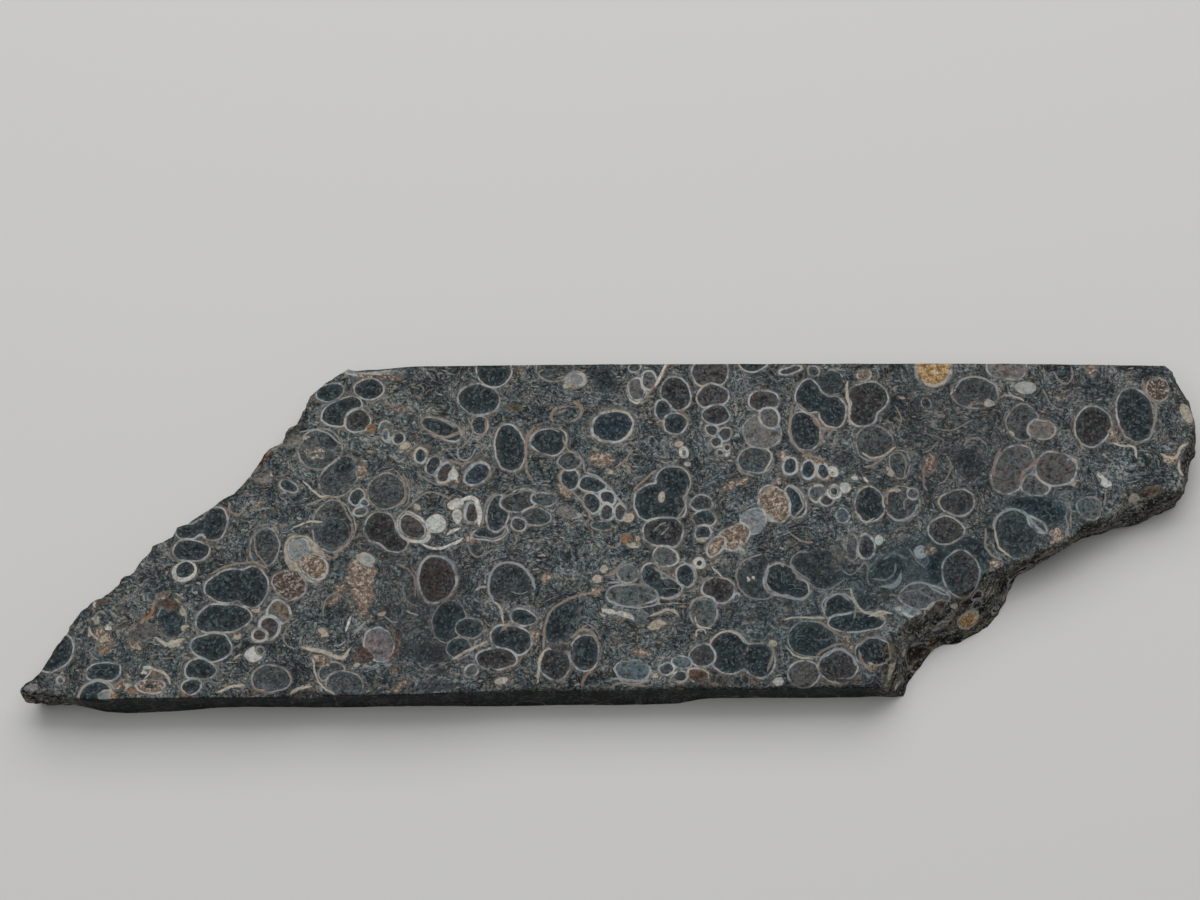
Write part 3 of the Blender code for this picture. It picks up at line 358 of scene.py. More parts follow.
# Cut fragments that show as lines, and two lines of painted shade: fill, width, then the x and y of each
# point.
LINES = [
    ("mist", 0.45, 41.6, -8.8, 43.4, -8.6, 44.8, -7.4, 45, -6.2),
    ("mist", 0.35, 43, -5.2, 45, -4.6, 47, -5.4), ("mist", 0.3, 40.8, -9.8, 40.4, -7.6, 41.4, -5.8),
    ("mist", 0.4, -49.4, 20.4, -48, 21.9, -45.6, 22.9),
    ("pale", 0.25, -32.7, 9.4, -31, 8.3, -29.3, 7.7, -27.4, 7.8),
    ("black", 0.25, -27.2, 5.5, -26.2, 6.1, -24.5, 6.6, -22.5, 6.8, -20.5, 6.3),
    ("cream", 0.35, -84.8, -16.8, -84.6, -17.8, -83.6, -18.6),
    ("cream", 0.3, -74.2, -23.3, -74.7, -24.6, -75.2, -25.4),
    ("black", 0.25, -73.7, -17.5, -72.5, -18.6, -70.6, -18.5),
    # Painted shade: a dark crevice.
    ("black", 0.25, -64.7, -4.3, -63.6, -2.9, -62.6, -1.2, -61.9, 0),
    ("shade", 0.6, -63.2, -23, -61, -20.7, -59, -17.2, -57.2, -14.2, -55.8, -12.6),
    # Painted shade: a dark crescent of shadow along the top of the chamber at (-57.2, -3.2).
    ("shade", 0.4, -59.1, -2, -58.6, -0.6, -57.4, 0.2, -55.9, 0.3),
    ("black", 0.2, -61.7, -22.6, -60.8, -21.2, -60.3, -20.2),
    ("black", 0.22, -54, -20.9, -54.3, -22, -53.2, -22.8),
    ("pale", 0.18, -51.2, -15.4, -52.6, -16.8, -53.4, -18.6, -52.9, -20, -51.4, -20.6),
    ("tan", 0.35, -63.3, 4.6, -63, 3, -61.6, 2.4, -60.6, 4.2),
    ("mist", 0.35, 20.8, 26.8, 21.2, 25.2, 21.4, 24), ("mist", 0.25, 21.6, 26.5, 21.8, 25),
    ("brown", 0.35, 49.2, 26.4, 50.6, 24.9, 52.8, 24.4, 54.6, 25.6),
    ("cream", 0.45, 37.6, -10.6, 38.3, -12.6, 39.6, -14.1, 41.4, -14.7, 42.9, -14.6),
    ("pale", 0.2, 36.4, -7.2, 37.6, -7.9, 39, -7, 39.8, -5.8), ("tan", 0.3, 38.4, -13, 38, -15.2),
    ("pale", 0.24, 31.9, -10.1, 30, -9, 28.4, -7.5, 28, -5.4, 29.2, -3.9, 30.8, -3.5),
    ("tan", 0.3, -9, 15.8, -8.2, 14.3, -6.6, 12.9, -5.6, 11.5, -5.3, 9.8),
    ("pale", 0.25, -14.2, 15, -13.4, 17, -11.6, 17.8, -9.6, 16.8),
    ("pale", 0.3, -19.3, 4.3, -17.8, 5.9, -15.4, 6.7, -13.8, 6.3, -13.3, 5.3),
    ("pearl", 0.35, -5.6, 2.9, -6.2, 2, -7.4, 1.7),
    ("rust", 0.4, 8.9, 29, 7.4, 26.9, 6.1, 24.6, 4.8, 23.2, 3.6, 22.1),
    ("pale", 0.16, -5, -16.2, -3.6, -17.2, -2.8, -19), ("tan", 0.8, -1.9, -8.2, -0.4, -7.3, 0.6, -6.1),
    ("pearl", 0.35, -1.4, -9.4, 0.4, -9.1), ("pale", 0.3, 6, -6.5, 7.6, -7.9, 9.6, -9.4),
    ("cream", 0.25, 12.6, -18.5, 12.8, -17.4, 14, -17.3, 14.3, -18.3),
    ("pearl", 0.28, -0.8, -25.5, 2, -25.4, 5, -25.7),
    ("cream", 0.5, 5.3, -15, 6.8, -14.3, 7.8, -13.7, 8.9, -13.9, 9.6, -14.8),
    ("tan", 0.4, 9.6, -13.4, 10.9, -13.5), ("pale", 0.2, -1.6, -3, -0.8, -3.4, 0.2, -3, 0.5, -1.8),
    ("brown", 0.5, 19.3, -22.6, 20.7, -20.8, 21.2, -19.7),
    ("tan", 0.25, -33.3, -6.2, -32.5, -7.5, -32.4, -9.5, -31.9, -11.6),
    ("cream", 0.25, -33.8, -14, -32, -15), ("tan", 0.22, -44.9, -10.6, -47, -12.3, -47.4, -15.2),
    ("pearl", 0.28, -37.2, -15.3, -36.2, -16, -35, -16),
    ("pearl", 0.42, -19.8, -12.3, -20.7, -9.9, -20.1, -7.4, -18.2, -6, -15.8, -6.3, -13.9, -8.1,
     -13.3, -10.4),
    ("pale", 0.16, -17, -10.7, -15.6, -11.2, -14.3, -10.6),
    ("cream", 0.35, -23, -10.8, -22, -9.9, -20.9, -9.8),
    ("cream", 0.4, -19.9, -12.2, -18.8, -13.4, -18.2, -15.9), ("tan", 0.6, -18.6, -17.1, -17.4, -15.9),
    ("mist", 0.42, -17.1, -15.9, -16.7, -14.3, -15, -13.5, -13.1, -14, -12.4, -15.2),
    ("mist", 0.5, -43.5, -5, -42.2, -3.9), ("mist", 0.3, -46, -7.6, -44.5, -7.8),
    ("pale", 0.25, -24.4, -2.7, -23.7, -4.1, -22.6, -4.8, -21.3, -4.3, -20.2, -3.5),
    ("white", 0.5, -31.6, -2.8, -30.2, -3.15, -28.2, -3.1, -26.4, -2.6, -25.2, -1.7),
    ("white", 0.6, -27.6, -1, -26.7, -0.3, -25.6, 0.3),
    ("white", 0.95, -25.4, 4.7, -24, 5.2, -22.9, 4.7, -22.5, 3, -22.6, 0.9),
    ("tan", 0.3, -35.2, -6.3, -33.7, -6.7, -32.8, -8.2, -32.5, -11.5),
    ("pale", 0.3, -34.6, -9.8, -34.4, -11.4, -33.4, -12.8, -31.9, -13.1),
    ("cream", 0.4, -26.4, -22.1, -23.7, -20.7, -20.9, -19.1),
    ("tan", 0.45, -11.9, -20.4, -11.7, -16.5, -10.6, -13.9, -8.8, -12.5, -5.5, -11.5, -2.4, -10.6),
    ("tan", 0.5, -7.5, -18.5, -6.4, -17.4, -5.3, -17.1, -4.1, -17.8, -3.1, -19.4),
    ("cream", 0.45, -12.8, -26.2, -12.6, -23.2, -11.8, -20.8),
    ("tan", 0.5, -4.2, -24, -5.2, -25.2, -5.6, -26.6), ("pearl", 0.4, -42.3, -18.4, -40.3, -16),
    ("white", 0.5, -43.4, -17.5, -42.8, -15.3), ("pearl", 0.3, -45.4, -20.2, -44.3, -19.9, -43.5, -19.2),
    ("pinkish", 0.3, -43.1, -18, -43.1, -20.4),
    ("cream", 0.7, -50.3, -20.3, -48, -20.9, -45.6, -21.8, -43.8, -21.8, -42.8, -20.5),
    ("cream", 0.3, -48.7, -22.2, -48.1, -24.6, -47, -26.7, -45, -28.2),
    ("rust", 0.85, -37, -16.8, -35.3, -18.2, -35.3, -20.2, -36, -21.8, -37.2, -22.9),
    ("cream", 0.45, -52.2, -28.2, -50.9, -27.1, -48.9, -26.9),
    ("brown", 0.8, -74, -11.4, -74.6, -13.8, -76.2, -15.9, -78.5, -17.4),
    ("orange", 0.45, -74.3, -12.2, -74.8, -14.4, -76.6, -16.1),
    ("cream", 0.6, -74, -18.8, -72.2, -19.7, -69.6, -18.9),
    ("black", 0.28, -78.4, -12, -77.7, -13.2, -76.2, -14.4), ("black", 0.25, -80.3, -11.9, -79.4, -11.2),
    ("black", 0.3, -73.9, -14.6, -73.5, -16.6, -73.3, -18),
    ("pale", 0.35, -82.2, -14.8, -83, -14.2, -83.8, -14.8, -84, -15.9),
    ("cream", 0.45, -74.3, -23.4, -72.3, -24.7, -71.4, -26.6),
    ("pale", 0.35, -84.6, -20.9, -84, -21.8, -83.2, -22.2),
    ("pearl", 0.45, -86, -28.8, -84.9, -26.7, -83.2, -25.9, -81, -26.2, -79.9, -27.2),
    ("cream", 0.4, -63.4, -27.8, -61.6, -26.8, -59.4, -26.6), ("cream", 0.35, -61.2, -22.2, -60.2, -21.2),
    ("tan", 0.35, -65.4, -7.4, -62, -6.2, -59, -6.1, -56.5, -6.9),
    ("tan", 0.3, -59, -1, -58.5, -4.2, -56.6, -6.4),
    ("pearl", 0.25, -52.1, 16.9, -49.6, 17.4, -47.4, 16.6, -45.4, 14.8),
    ("cream", 0.35, -51.3, 8.4, -48.6, 5.8, -47, 5.6),
    ("tan", 0.35, -50.6, 4.3, -46.2, 5.5, -44.4, 3.8, -43.1, 1.2, -43.1, -1, -43.9, -2.8, -45.2, -3.7,
     -45.8, -5, -48.2, -4.2),
    ("cream", 0.4, -52.2, 0.3, -50, 1.2, -47.8, 1.3),
    ("tan", 0.22, -36.4, 10.3, -34.8, 8.2, -34.7, 5.6, -36.1, 3.5),
    ("tan", 0.2, -35.1, 9.8, -33.9, 7.2, -34.1, 4.8, -35, 3.6),
    ("pale", 0.28, -34.3, 3.3, -32.6, 5.3, -30.4, 6.2, -28.2, 5.9, -27, 5.2),
    ("pale", 0.28, -30.1, 19.9, -28.4, 18.9, -26.6, 17.8),
    ("tan", 0.55, -31, 16.6, -29.6, 16, -27.2, 16.4, -25, 17.4),
    ("tan", 0.3, -24.7, 19.4, -23.7, 17.9, -24, 15.9, -25.4, 14.2),
    ("tan", 0.35, -21.7, 19.2, -21.5, 17.5, -22.9, 15.3),
    ("pearl", 0.26, -26.1, 14.4, -25.8, 12.5, -24.8, 11.9, -23.7, 12.4, -23.2, 13.8),
    ("tan", 0.3, -27.4, 12, -25.6, 11.4, -23.9, 11.6),
    ("pale", 0.18, -22.5, 13.9, -22.1, 14.8, -21.4, 14.5, -22.2, 13.6, -22, 13, -21.4, 12.8),
    ("tan", 0.5, -13.8, 18, -14.8, 16, -14.9, 12.4, -14.7, 10, -13.8, 8.4),
    ("black", 0.25, -19.2, 6, -17.7, 7.1, -16.2, 8.3), ("black", 0.22, -18.2, 6, -16.6, 7.4),
    ("black", 0.2, -17.4, 5.9, -16, 7), ("pale", 0.28, -21.9, 1, -21.8, 3.2, -21, 4.9, -19.8, 5.9),
    ("pale", 0.28, -24, -0.5, -22.5, -1.6, -20.5, -1.6, -18.7, -0.8, -18, 0.6),
    ("pearl", 0.4, -5, 9.7, -3.2, 9.3, -1.6, 7.6, 0.3, 4.9, 1.3, 3.6),
    ("tan", 0.35, -8.6, 10, -9.4, 8.7, -8.4, 7, -6.8, 6.3, -4, 1.9),
    ("pale", 0.35, -7, 12.8, -5.6, 11.9, -5.3, 10.3),
    ("tan", 0.5, -8, 21.9, -10, 21.3, -10.9, 20, -10.6, 18.9), ("tan", 0.3, -9.8, 20.4, -8.4, 21.3),
    ("tan", 0.6, -7.2, 22.7, -5.9, 21.4, -6.2, 19.8, -7.7, 18.7),
    ("pale", 0.28, -12.2, 28, -12.9, 27.2, -12, 26.2, -10.5, 26),
    ("tan", 0.28, -9.8, 26.7, -7.3, 27.2, -5.2, 28.2), ("tan", 0.35, 2.4, 14.2, 1.4, 12.2, -0.4, 10.7),
    ("pale", 0.16, -12.8, 7.8, -11.8, 8.2, -10.8, 8), ("tan", 0.45, 8.4, 29.2, 7.1, 27, 6, 25, 4.9, 23.6),
    ("white", 0.4, 8, 29, 7.3, 27.3, 6.4, 25.4), ("tan", 0.35, 2.6, 7, 4.2, 8.8, 6.6, 10.3),
    ("tan", 0.35, 11.4, 7.2, 11.2, 4.2, 9.6, 1.4), ("pale", 0.22, 6, -0.6, 7.2, 0.9, 8, 1.2),
    ("pale", 0.22, 7.2, -1.2, 8.4, 0.2), ("tan", 0.45, 29.4, 22.4, 31.8, 20.2, 33.4, 17.9, 36.2, 17.4),
    ("tan", 0.4, 28.9, 21.6, 28.3, 18, 29, 15.2, 30.8, 13.2, 34, 12),
    ("tan", 0.35, 19.4, 11.6, 20.2, 9.9, 22, 9.1), ("cream", 0.28, 24.7, 14, 25.2, 12.2, 24, 10),
    ("tan", 0.3, 22.8, 5.2, 24.9, 7.5, 26.9, 9), ("pearl", 0.35, 27.9, 7.6, 29.4, 6.4, 30.4, 4, 29.2, 2.4),
    ("tan", 0.22, 45.6, 21.6, 46.6, 19.4, 45.9, 17.2),
    ("cream", 0.35, 40.2, 13.5, 41.8, 12.4, 43.7, 12.7, 45.6, 14.4),
    ("tan", 0.45, 40.2, 11, 42.2, 11.3, 44, 12.6),
    ("pale", 0.22, 44.3, 12.2, 46.2, 13.3, 47.4, 11.6, 47, 9),
    ("pearl", 0.3, 43.9, 2.6, 45.6, 1.7, 47.9, 2.4, 49.2, 4.4),
    ("pale", 0.18, 46.6, 3.2, 46.7, 4.5, 47.4, 5.2), ("brown", 0.45, 43.6, 7.2, 43.9, 4.2, 43.2, 2.6),
    ("cream", 0.3, 39.1, 2.9, 40.2, 1.1, 41.6, 1.6), ("tan", 0.3, 44.2, 7.4, 44, 4.4),
    ("pale", 0.2, 48.8, 1.6, 49.1, -0.4), ("pale", 0.25, 52.2, 8, 53.8, 8.9, 54.6, 10.6, 54, 12.4),
    ("tan", 0.35, 50.2, 11, 50, 8.2, 50.4, 6.8), ("pale", 0.25, 50.2, 13.4, 51.6, 14, 52.8, 15.2),
    ("pale", 0.22, 52, 19, 52.2, 17.5, 55.5, 17.6, 58.6, 19.2),
    ("pearl", 0.3, 56, 25.2, 57.4, 26.6, 60.2, 26.8, 62.2, 25.6, 63.3, 24.3),
    ("cream", 0.4, 55, 24, 55.9, 24.8), ("pale", 0.5, 56.9, 14.6, 57.8, 15.6, 59.4, 15.6, 60.6, 14.4),
    ("tan", 0.55, 61.2, 9.2, 61.8, 11.8, 63, 14), ("tan", 0.6, 69.2, 12.6, 67.5, 11, 66.2, 9.8, 65.9, 8),
    ("cream", 0.3, 63.8, 23.6, 66, 22.9, 67, 22), ("pale", 0.22, 70.2, 24.4, 71.4, 21.9, 73.6, 20.7),
    ("pale", 0.28, 72.3, 28, 73.2, 26.2, 74.6, 25.6, 75.4, 27.2, 75.2, 28.6),
    ("tan", 0.25, 70.6, 28.6, 70.6, 26.6), ("tan", 0.6, 86.8, 26.2, 87.2, 23.6, 88.6, 21.8),
    ("tan", 0.45, 88.8, 21.6, 88.6, 19.4, 87.8, 17),
    ("cream", 0.4, 81.2, 14.9, 83.2, 14.6, 84.6, 14.4, 85, 12.6), ("tan", 0.4, 75.6, 16, 76.2, 14),
    ("cream", 0.4, 89, 13.2, 91.4, 12.6, 92.4, 14.2, 93.6, 15.1),
    ("cream", 0.35, 92, 12, 91.8, 10.6, 92.4, 9.2), ("pale", 0.4, 78.6, 9.6, 79.7, 10.1, 80.6, 9),
    ("pearl", 0.55, 61.4, -0.6, 61.3, 0.6, 62.3, 2.5, 64.4, 3.3, 66.4, 2.7, 68, 0.6, 69.2, -0.5),
    ("cream", 0.4, 61.4, -0.6, 61.9, -3, 63.6, -4.9),
    ("pale", 0.4, 59.7, -0.3, 59.7, -2.6, 60.7, -4.4, 62.2, -5.6),
    ("mist", 0.3, 60.6, -2, 61.4, -3.8, 62.6, -5), ("mist", 0.6, 72.2, 4.9, 73.2, 3.8, 72.9, 2.2),
    ("pale", 0.35, 72.7, 2.1, 73.3, 0.6, 72.7, -0.8), ("tan", 0.3, 73.4, 4.6, 73.6, 2.6, 73.7, 0.4),
    ("mist", 0.3, 74, 6.7, 74.1, 5), ("black", 0.2, 79.3, 5.8, 79, 3.4, 78.8, 1.8),
    ("tan", 0.22, 79.6, 6.2, 79.4, 3.9), ("pearl", 1.1, 42.7, -10, 44.2, -9.8, 45.3, -8.9, 45.8, -7.7),
    ("brown", 0.8, 41.8, -11.7, 45, -11.2, 47.2, -9),
    ("pearl", 0.3, 45.4, -11, 47, -9.8, 49.3, -9.5, 51.7, -10.6, 53.2, -11.3),
    ("pale", 0.25, 46.2, -11, 48, -10.9, 50.6, -11.6), ("pale", 0.2, 47.6, -11.4, 49.4, -10.1),
    ("pale", 0.22, 47.2, -3.4, 48.4, -5.2, 49.6, -6.6), ("mist", 0.35, 49.8, -4.6, 50.2, -5.8, 49.6, -6.7),
    ("mist", 0.5, 41.8, -5.8, 42.2, -4.6, 43.4, -4.4), ("cream", 0.45, 40.4, -15, 42, -14.2, 43.8, -14.6),
    ("pearl", 0.35, 24.4, -6, 23.9, -8.8, 25, -10.9, 27.4, -11.9, 30.2, -11.6, 31.3, -10.7),
    ("pearl", 0.28, 26.9, -6.3, 26.2, -5.7, 25.2, -5.8), ("pale", 0.25, 28.1, -6, 29, -7.8, 30.9, -9.2),
    ("pale", 0.22, 31.4, -10.2, 34.2, -10.3, 36.6, -9),
    ("pale", 0.3, 20, -5.6, 19.2, -8, 19.8, -10.6, 21.6, -12, 23.8, -12.1, 25, -11.5),
    ("tan", 0.3, 19.3, -6.4, 20.8, -4.9, 23.4, -4.5), ("tan", 0.25, 27.4, -0.4, 29.4, -1.8, 31.6, -2),
    ("cream", 0.3, 15.2, -6.2, 17, -8), ("pale", 0.22, 13.4, -9.4, 14.6, -8),
    ("pearl", 0.32, -1, -12.4, 1.2, -13.4, 4.4, -13.7, 6.2, -12.9, 6.6, -11.8),
    ("pale", 0.25, 4.6, -11.2, 6.8, -11.7), ("pearl", 0.28, 7.6, -11.9, 9.6, -11.3, 10.7, -10),
    ("pearl", 0.3, 10.4, -5.4, 12, -6.9, 12.3, -8.8, 11.4, -10),
    ("tan", 0.35, 11.4, -13.8, 12.2, -12.2, 14.4, -12.2),
    ("cream", 0.35, 12.4, -15.2, 13, -16.6, 15.2, -17),
    ("cream", 0.38, 15, -19.4, 16.6, -18, 18.8, -18, 20.6, -19.5),
    ("tan", 0.5, 24.6, -20, 24.7, -21.8, 23.8, -23.8), ("cream", 0.35, 26.8, -15.6, 30, -15.3, 33.4, -15.5),
    ("tan", 0.5, 32.4, -15.8, 34.2, -17.2, 36.2, -18.8),
    ("cream", 0.3, 27.2, -20.4, 29, -21.8, 31.2, -22.2),
    ("pearl", 0.38, 32.2, -22.6, 33.2, -21.2, 35.4, -20.7, 37.4, -21.6, 38.1, -23.2),
    ("tan", 0.4, 31.7, -21.8, 33.2, -20.4, 36, -19.9), ("tan", 0.5, 38.6, -20.6, 39.2, -22.6, 40.2, -24),
    ("pearl", 0.28, 33.2, -14.6, 33.8, -12.3, 35.6, -11.3, 37.4, -12.4),
    ("pale", 0.22, 38.4, -20, 40.4, -18.7, 43.2, -18.4),
    ("pearl", 0.35, -0.6, -24, 0.8, -25.8, 4, -25.8, 5, -24.6),
    ("tan", 0.3, -1, -26.4, 1.6, -25.9, 4.8, -26.6), ("cream", 0.4, 38.2, 26, 38, 23.2, 38.4, 20.2),
    ("pale", 0.15, -39.6, 22.4, -37.4, 23.2),
]

# Shells and fragments that show on the broken sides: fill, height above the base, ellipse.
SIDE_SHELLS = [
    ("umber", 1.4, 49, -19.6, 2.6, 2.4), ("peach", 7.4, 51.2, -13.5, 2.4, 1, 48),
    ("cream", 7.5, 50.6, -13.1, 2, 0.5, 48), ("grit", 5.4, 60.3, -9.6, 2.4, 1.4, 45),
    ("amber", 3.6, 56.9, -14.1, 1.7, 1.3, 20), ("white", 6.6, 54.2, -12.8, 0.8, 0.6, 10),
    ("ash", 5.7, 58.2, -10.8, 1, 0.9), ("pale", 4.3, 58.1, -11.9, 0.9, 0.8),
    ("cream", 6.2, 43.8, -23.4, 0.5, 2.6, -14), ("white", 3.1, 45.1, -24.9, 0.6, 0.9, -25),
    ("cream", 5.2, 46, -20.4, 0.5, 0.9, -25), ("cream", 2.9, 48.4, -17.9, 1.2, 0.5, 15),
    ("orange", 2.1, 50.8, -17.7, 0.7, 1.1, -40), ("black", 6.4, 47.7, -16.7, 2.2, 0.7, 20),
    ("cream", 1.3, 63.1, -9.3, 0.6, 0.9, 20), ("tan", 1.2, 61.7, -11.6, 0.8, 0.6),
    ("cream", 4.2, 62.2, -9.4, 0.9, 0.5, 30), ("dark", 3, 66, -6.2, 2.4, 1.8, 30),
    ("tan", 4.6, 52.2, -15.6, 1.6, 0.9, 30), ("silt", 3.6, 79, -0.4, 2.4, 1.6, 20),
    ("peach", 7.2, 87.6, 6.7, 2.2, 1, 15), ("cream", 7.1, 84.4, 5.6, 1.4, 0.7, 10),
    ("orange", 6.6, -57.9, 12.9, 1, 2, -25), ("tan", 6.8, -55.6, 15, 1, 0.7, 30),
    ("dark", 2.6, -57.6, 12.6, 2.2, 1.8, 40), ("umber", 3.2, -76.4, -6.2, 2.4, 2, 40),
    ("tan", 3.6, -86.6, -15.8, 1.8, 1.4, 40),
]

# Broad soft patches: what the colour is multiplied by, how far the grain fades into even stone, ellipse.
TINTS = [
    ((0.8, 0.86, 0.9), 0.2, 34, -14, 17, 10, 20), ((0.7, 0.8, 0.85), 0.5, 50, -6.5, 9, 5.5),
    ((0.85, 0.82, 0.82), 0.15, 57, 14, 17, 12), ((0.66, 0.66, 0.68), 0.35, -31, -13.5, 7.5, 10),
    ((1.08, 1.07, 1.03), 0, -35, 20, 16, 9), ((1.06, 1.07, 1.06), 0, -52, 6, 12, 8, 40),
    ((0.99, 1.02, 1.01), 0, -76, -18, 14, 9, 30), ((1.25, 1.27, 1.25), 0, 6, -24, 8, 2.4),
    ((1.05, 1.07, 1.07), 0, -4, 4, 14, 18), ((0.86, 0.96, 1), 0.55, 69, 3, 7, 4, 10),
    ((1.05, 1.09, 1.11), 0, 84, 9, 8, 5), ((1, 1.02, 1.04), 0, 22, 8, 14, 10),
    ((0.84, 0.82, 0.82), 0.2, -38, -2, 5, 4),
]

# ---------------------------------------------------------------- the stone's colours, sRGB from 0 to 255
# A ramp's stops each give a place from 0 to 1 and a colour.
COOL_GRAINS = [(0.40, (25, 31, 34)), (0.455, (48, 57, 61)), (0.50, (70, 80, 83)), (0.55, (96, 104, 105)),
               (0.62, (150, 154, 151))]
WARM_GRAINS = [(0.40, (29, 28, 27)), (0.455, (57, 56, 54)), (0.51, (87, 83, 79)), (0.60, (148, 139, 127))]
CHIP_TONES = [(0.0, (34, 36, 37)), (0.3, (104, 113, 117)), (0.6, (130, 120, 109)), (1.0, (170, 167, 158))]
SEAM_TONES = [(0.36, (62, 57, 53)), (0.50, (106, 96, 87)), (0.64, (148, 136, 122))]
WALL_TONES = [(0.38, (128, 138, 144)), (0.50, (176, 180, 180)), (0.62, (172, 162, 149))]
DARK_HAIRS, TAN_HAIRS = (26, 27, 27), (140, 134, 124)
EVEN_STONE = (68, 77, 80)
COOL_STAIN, WARM_STAIN = (208, 232, 240), (255, 240, 228)
GLINT = (104, 112, 115)
RIM_HAZE = (112, 118, 120)
FROST = (200, 193, 180)
WORN_LINE = (148, 146, 140)
# Broken sides: their dust colour, then painted highlight streaks, painted shade in crevices, and painted
# glints.
DUST, PAINTED_HIGHLIGHT_STREAK, PAINTED_CREVICE_SHADE, PAINTED_GLINT = (62, 56, 47), (116, 104, 84), (22, 20, 17), (146, 142, 132)
# The sawn sides are darkened toward this colour: partly their darker, grimier sawn surface, mostly painted
# shade.
SAWN_GRIME_AND_SHADE = (26, 25, 24)

# ---------------------------------------------------------------- the stone's grain, in millimetres
GRAIN = 0.34                # size of the angular grains between the shells
GRAIN_JITTER = 0.9          # size of the noise that makes their outlines uneven
LUMP = 0.9                  # size of the light and dark lumps of the matrix
PATCH = 2.2                 # size of its warm patches
SWAY, SWAY_REACH = 4.5, 5.0     # size of the bends in its wisps, and how far they are moved
CHIP_SWAY = 3.0             # how far the same bends move the chips
CHIPS = ((0.3, 1.5, 0.42, 0.26), (1.7, 1.2, 0.40, 0.24))    # angle in radians, length, width, share
DARK_HAIRLINES = (1.9, 0.13, 0.47)      # spacing, half width, and how often they break
TAN_HAIRLINES = (2.2, 0.14, 0.50)
FUZZ, FUZZ_REACH = 0.55, 0.22   # size and height of the roughness of a whorl's outline
MOTTLE = 0.9                # size of the speckles inside whorls
BLOTCH = 1.9                # size of the changes of colour along walls and fills
CRYSTAL = 0.55              # size of the crystals inside whorls
STREAK, STREAK_REACH = 0.7, 0.35    # size and height of the roughness of a line's outline
PAINTED_LIGHT_BAND = 1.6            # size of the streaks of painted highlight and of painted crevice shade on the broken sides
RELIEF, RELIEF_HEIGHT = 0.5, 0.03   # the fine bumps of the surface

# ---------------------------------------------------------------- studio
FLOOR_REACH = 1.6
FLOOR_COLOUR = (222, 221, 218)
LIGHTS = (                  # name, place, size, power
    ("softbox_rear", (0.05, 0.55, 0.75), (1.2, 0.8), 5.5),
    ("softbox_top", (-0.15, -0.05, 1.0), (1.0, 1.0), 3.5),
)
SKY_COLOUR = (0.95, 0.97, 1.0, 1.0)
SKY_STRENGTH = 0.13


def linear(rgb):
    """Linear light of an sRGB colour given from 0 to 255."""
    c = np.asarray(rgb, float) / 255.0
    return np.where(c <= 0.04045, c / 12.92, ((c + 0.055) / 1.055) ** 2.4)


def rgba(rgb):
    return (*linear(rgb), 1.0)


# ---------------------------------------------------------------- distances, in millimetres
def wobble(points, wavelength, height, seed):
    """Moves points by a smooth random field, so that outlines drawn as ellipses come out uneven."""
    rng = np.random.default_rng(seed)
    moved = points.copy()
    for _ in range(WAVES):
        direction = rng.normal(size=3)
        direction *= math.tau / wavelength / np.linalg.norm(direction) * rng.uniform(0.6, 1.5)
        wave = np.sin(points @ direction + rng.uniform(0, math.tau))
        moved += wave[:, None] * rng.normal(size=3) * height / math.sqrt(WAVES)
    return moved


def ellipsoid_distance(points, middle, radii, turn):
    """Approximate signed distance to an ellipsoid that is turned about +Z: negative inside."""
    angle = math.radians(turn)
    offset = points - np.asarray(middle)
    along = offset[:, 0] * math.cos(angle) + offset[:, 1] * math.sin(angle)
    across = -offset[:, 0] * math.sin(angle) + offset[:, 1] * math.cos(angle)
    local = np.stack([along, across, offset[:, 2]], 1) / np.asarray(radii)
    k0 = np.linalg.norm(local, axis=1)
    k1 = np.linalg.norm(local / np.asarray(radii), axis=1)
    return np.where(k1 > 1e-9, k0 * (k0 - 1.0) / np.maximum(k1, 1e-9), -min(radii))


def smooth_max(a, b, softness):
    h = np.clip(0.5 + 0.5 * (a - b) / softness, 0.0, 1.0)
    return b + (a - b) * h + softness * h * (1.0 - h)


class Cloud:
    """Points in millimetres, and copies of them moved about so that outlines come out uneven."""

    def __init__(self, points):
        self.points = self.bent = points
        for wavelength, height, seed in BENDS:
            self.bent = wobble(self.bent, wavelength, height, seed)
        self.ragged = self.bent
        for wavelength, height, seed in RAGS:
            self.ragged = wobble(self.ragged, wavelength, height, seed)
        self.order = np.argsort(points[:, 0])
        self.sorted_x = points[self.order, 0]

    def around(self, middle, reach):
        """The numbers of the points inside a cube."""
        first, last = np.searchsorted(self.sorted_x, [middle[0] - reach, middle[0] + reach])
        some = self.order[first:last]
        return some[(np.abs(self.points[some] - np.asarray(middle)) < reach).all(axis=1)]


class Whorl:
    """One cut whorl, or a scrap of shell: its outline as a distance at each point near it, and its fill."""

    def __init__(self, fill, numbers, height, ragged=False):
        self.colour, self.texture, self.wall, self.whiteness, self.seam = FILLS[fill]
        self.ellipses = [(*numbers[k:k + 5], 0)[:5] for k in range(0, len(numbers), 5)]
        self.height, self.ragged = height, ragged
        if ragged:
            self.wall = 0.0
        middle = np.mean([e[:2] for e in self.ellipses], axis=0)
        self.middle = (*middle, height)
        self.reach = max(math.dist(middle, e[:2]) + max(e[2:4]) for e in self.ellipses)

    def measure(self, cloud):
        self.near = cloud.around(self.middle, self.reach + FAR)
        source = (cloud.ragged if self.ragged else cloud.bent)[self.near]
        self.distance = np.full(len(source), FAR)
        for x, y, a, b, turn in self.ellipses:
            single = ellipsoid_distance(source, (x, y, self.height), (a, b, 0.9 * min(a, b)), turn)
            self.distance = -smooth_max(-self.distance, -single, JOIN_SOFTNESS)

    def away(self):
        return self.distance


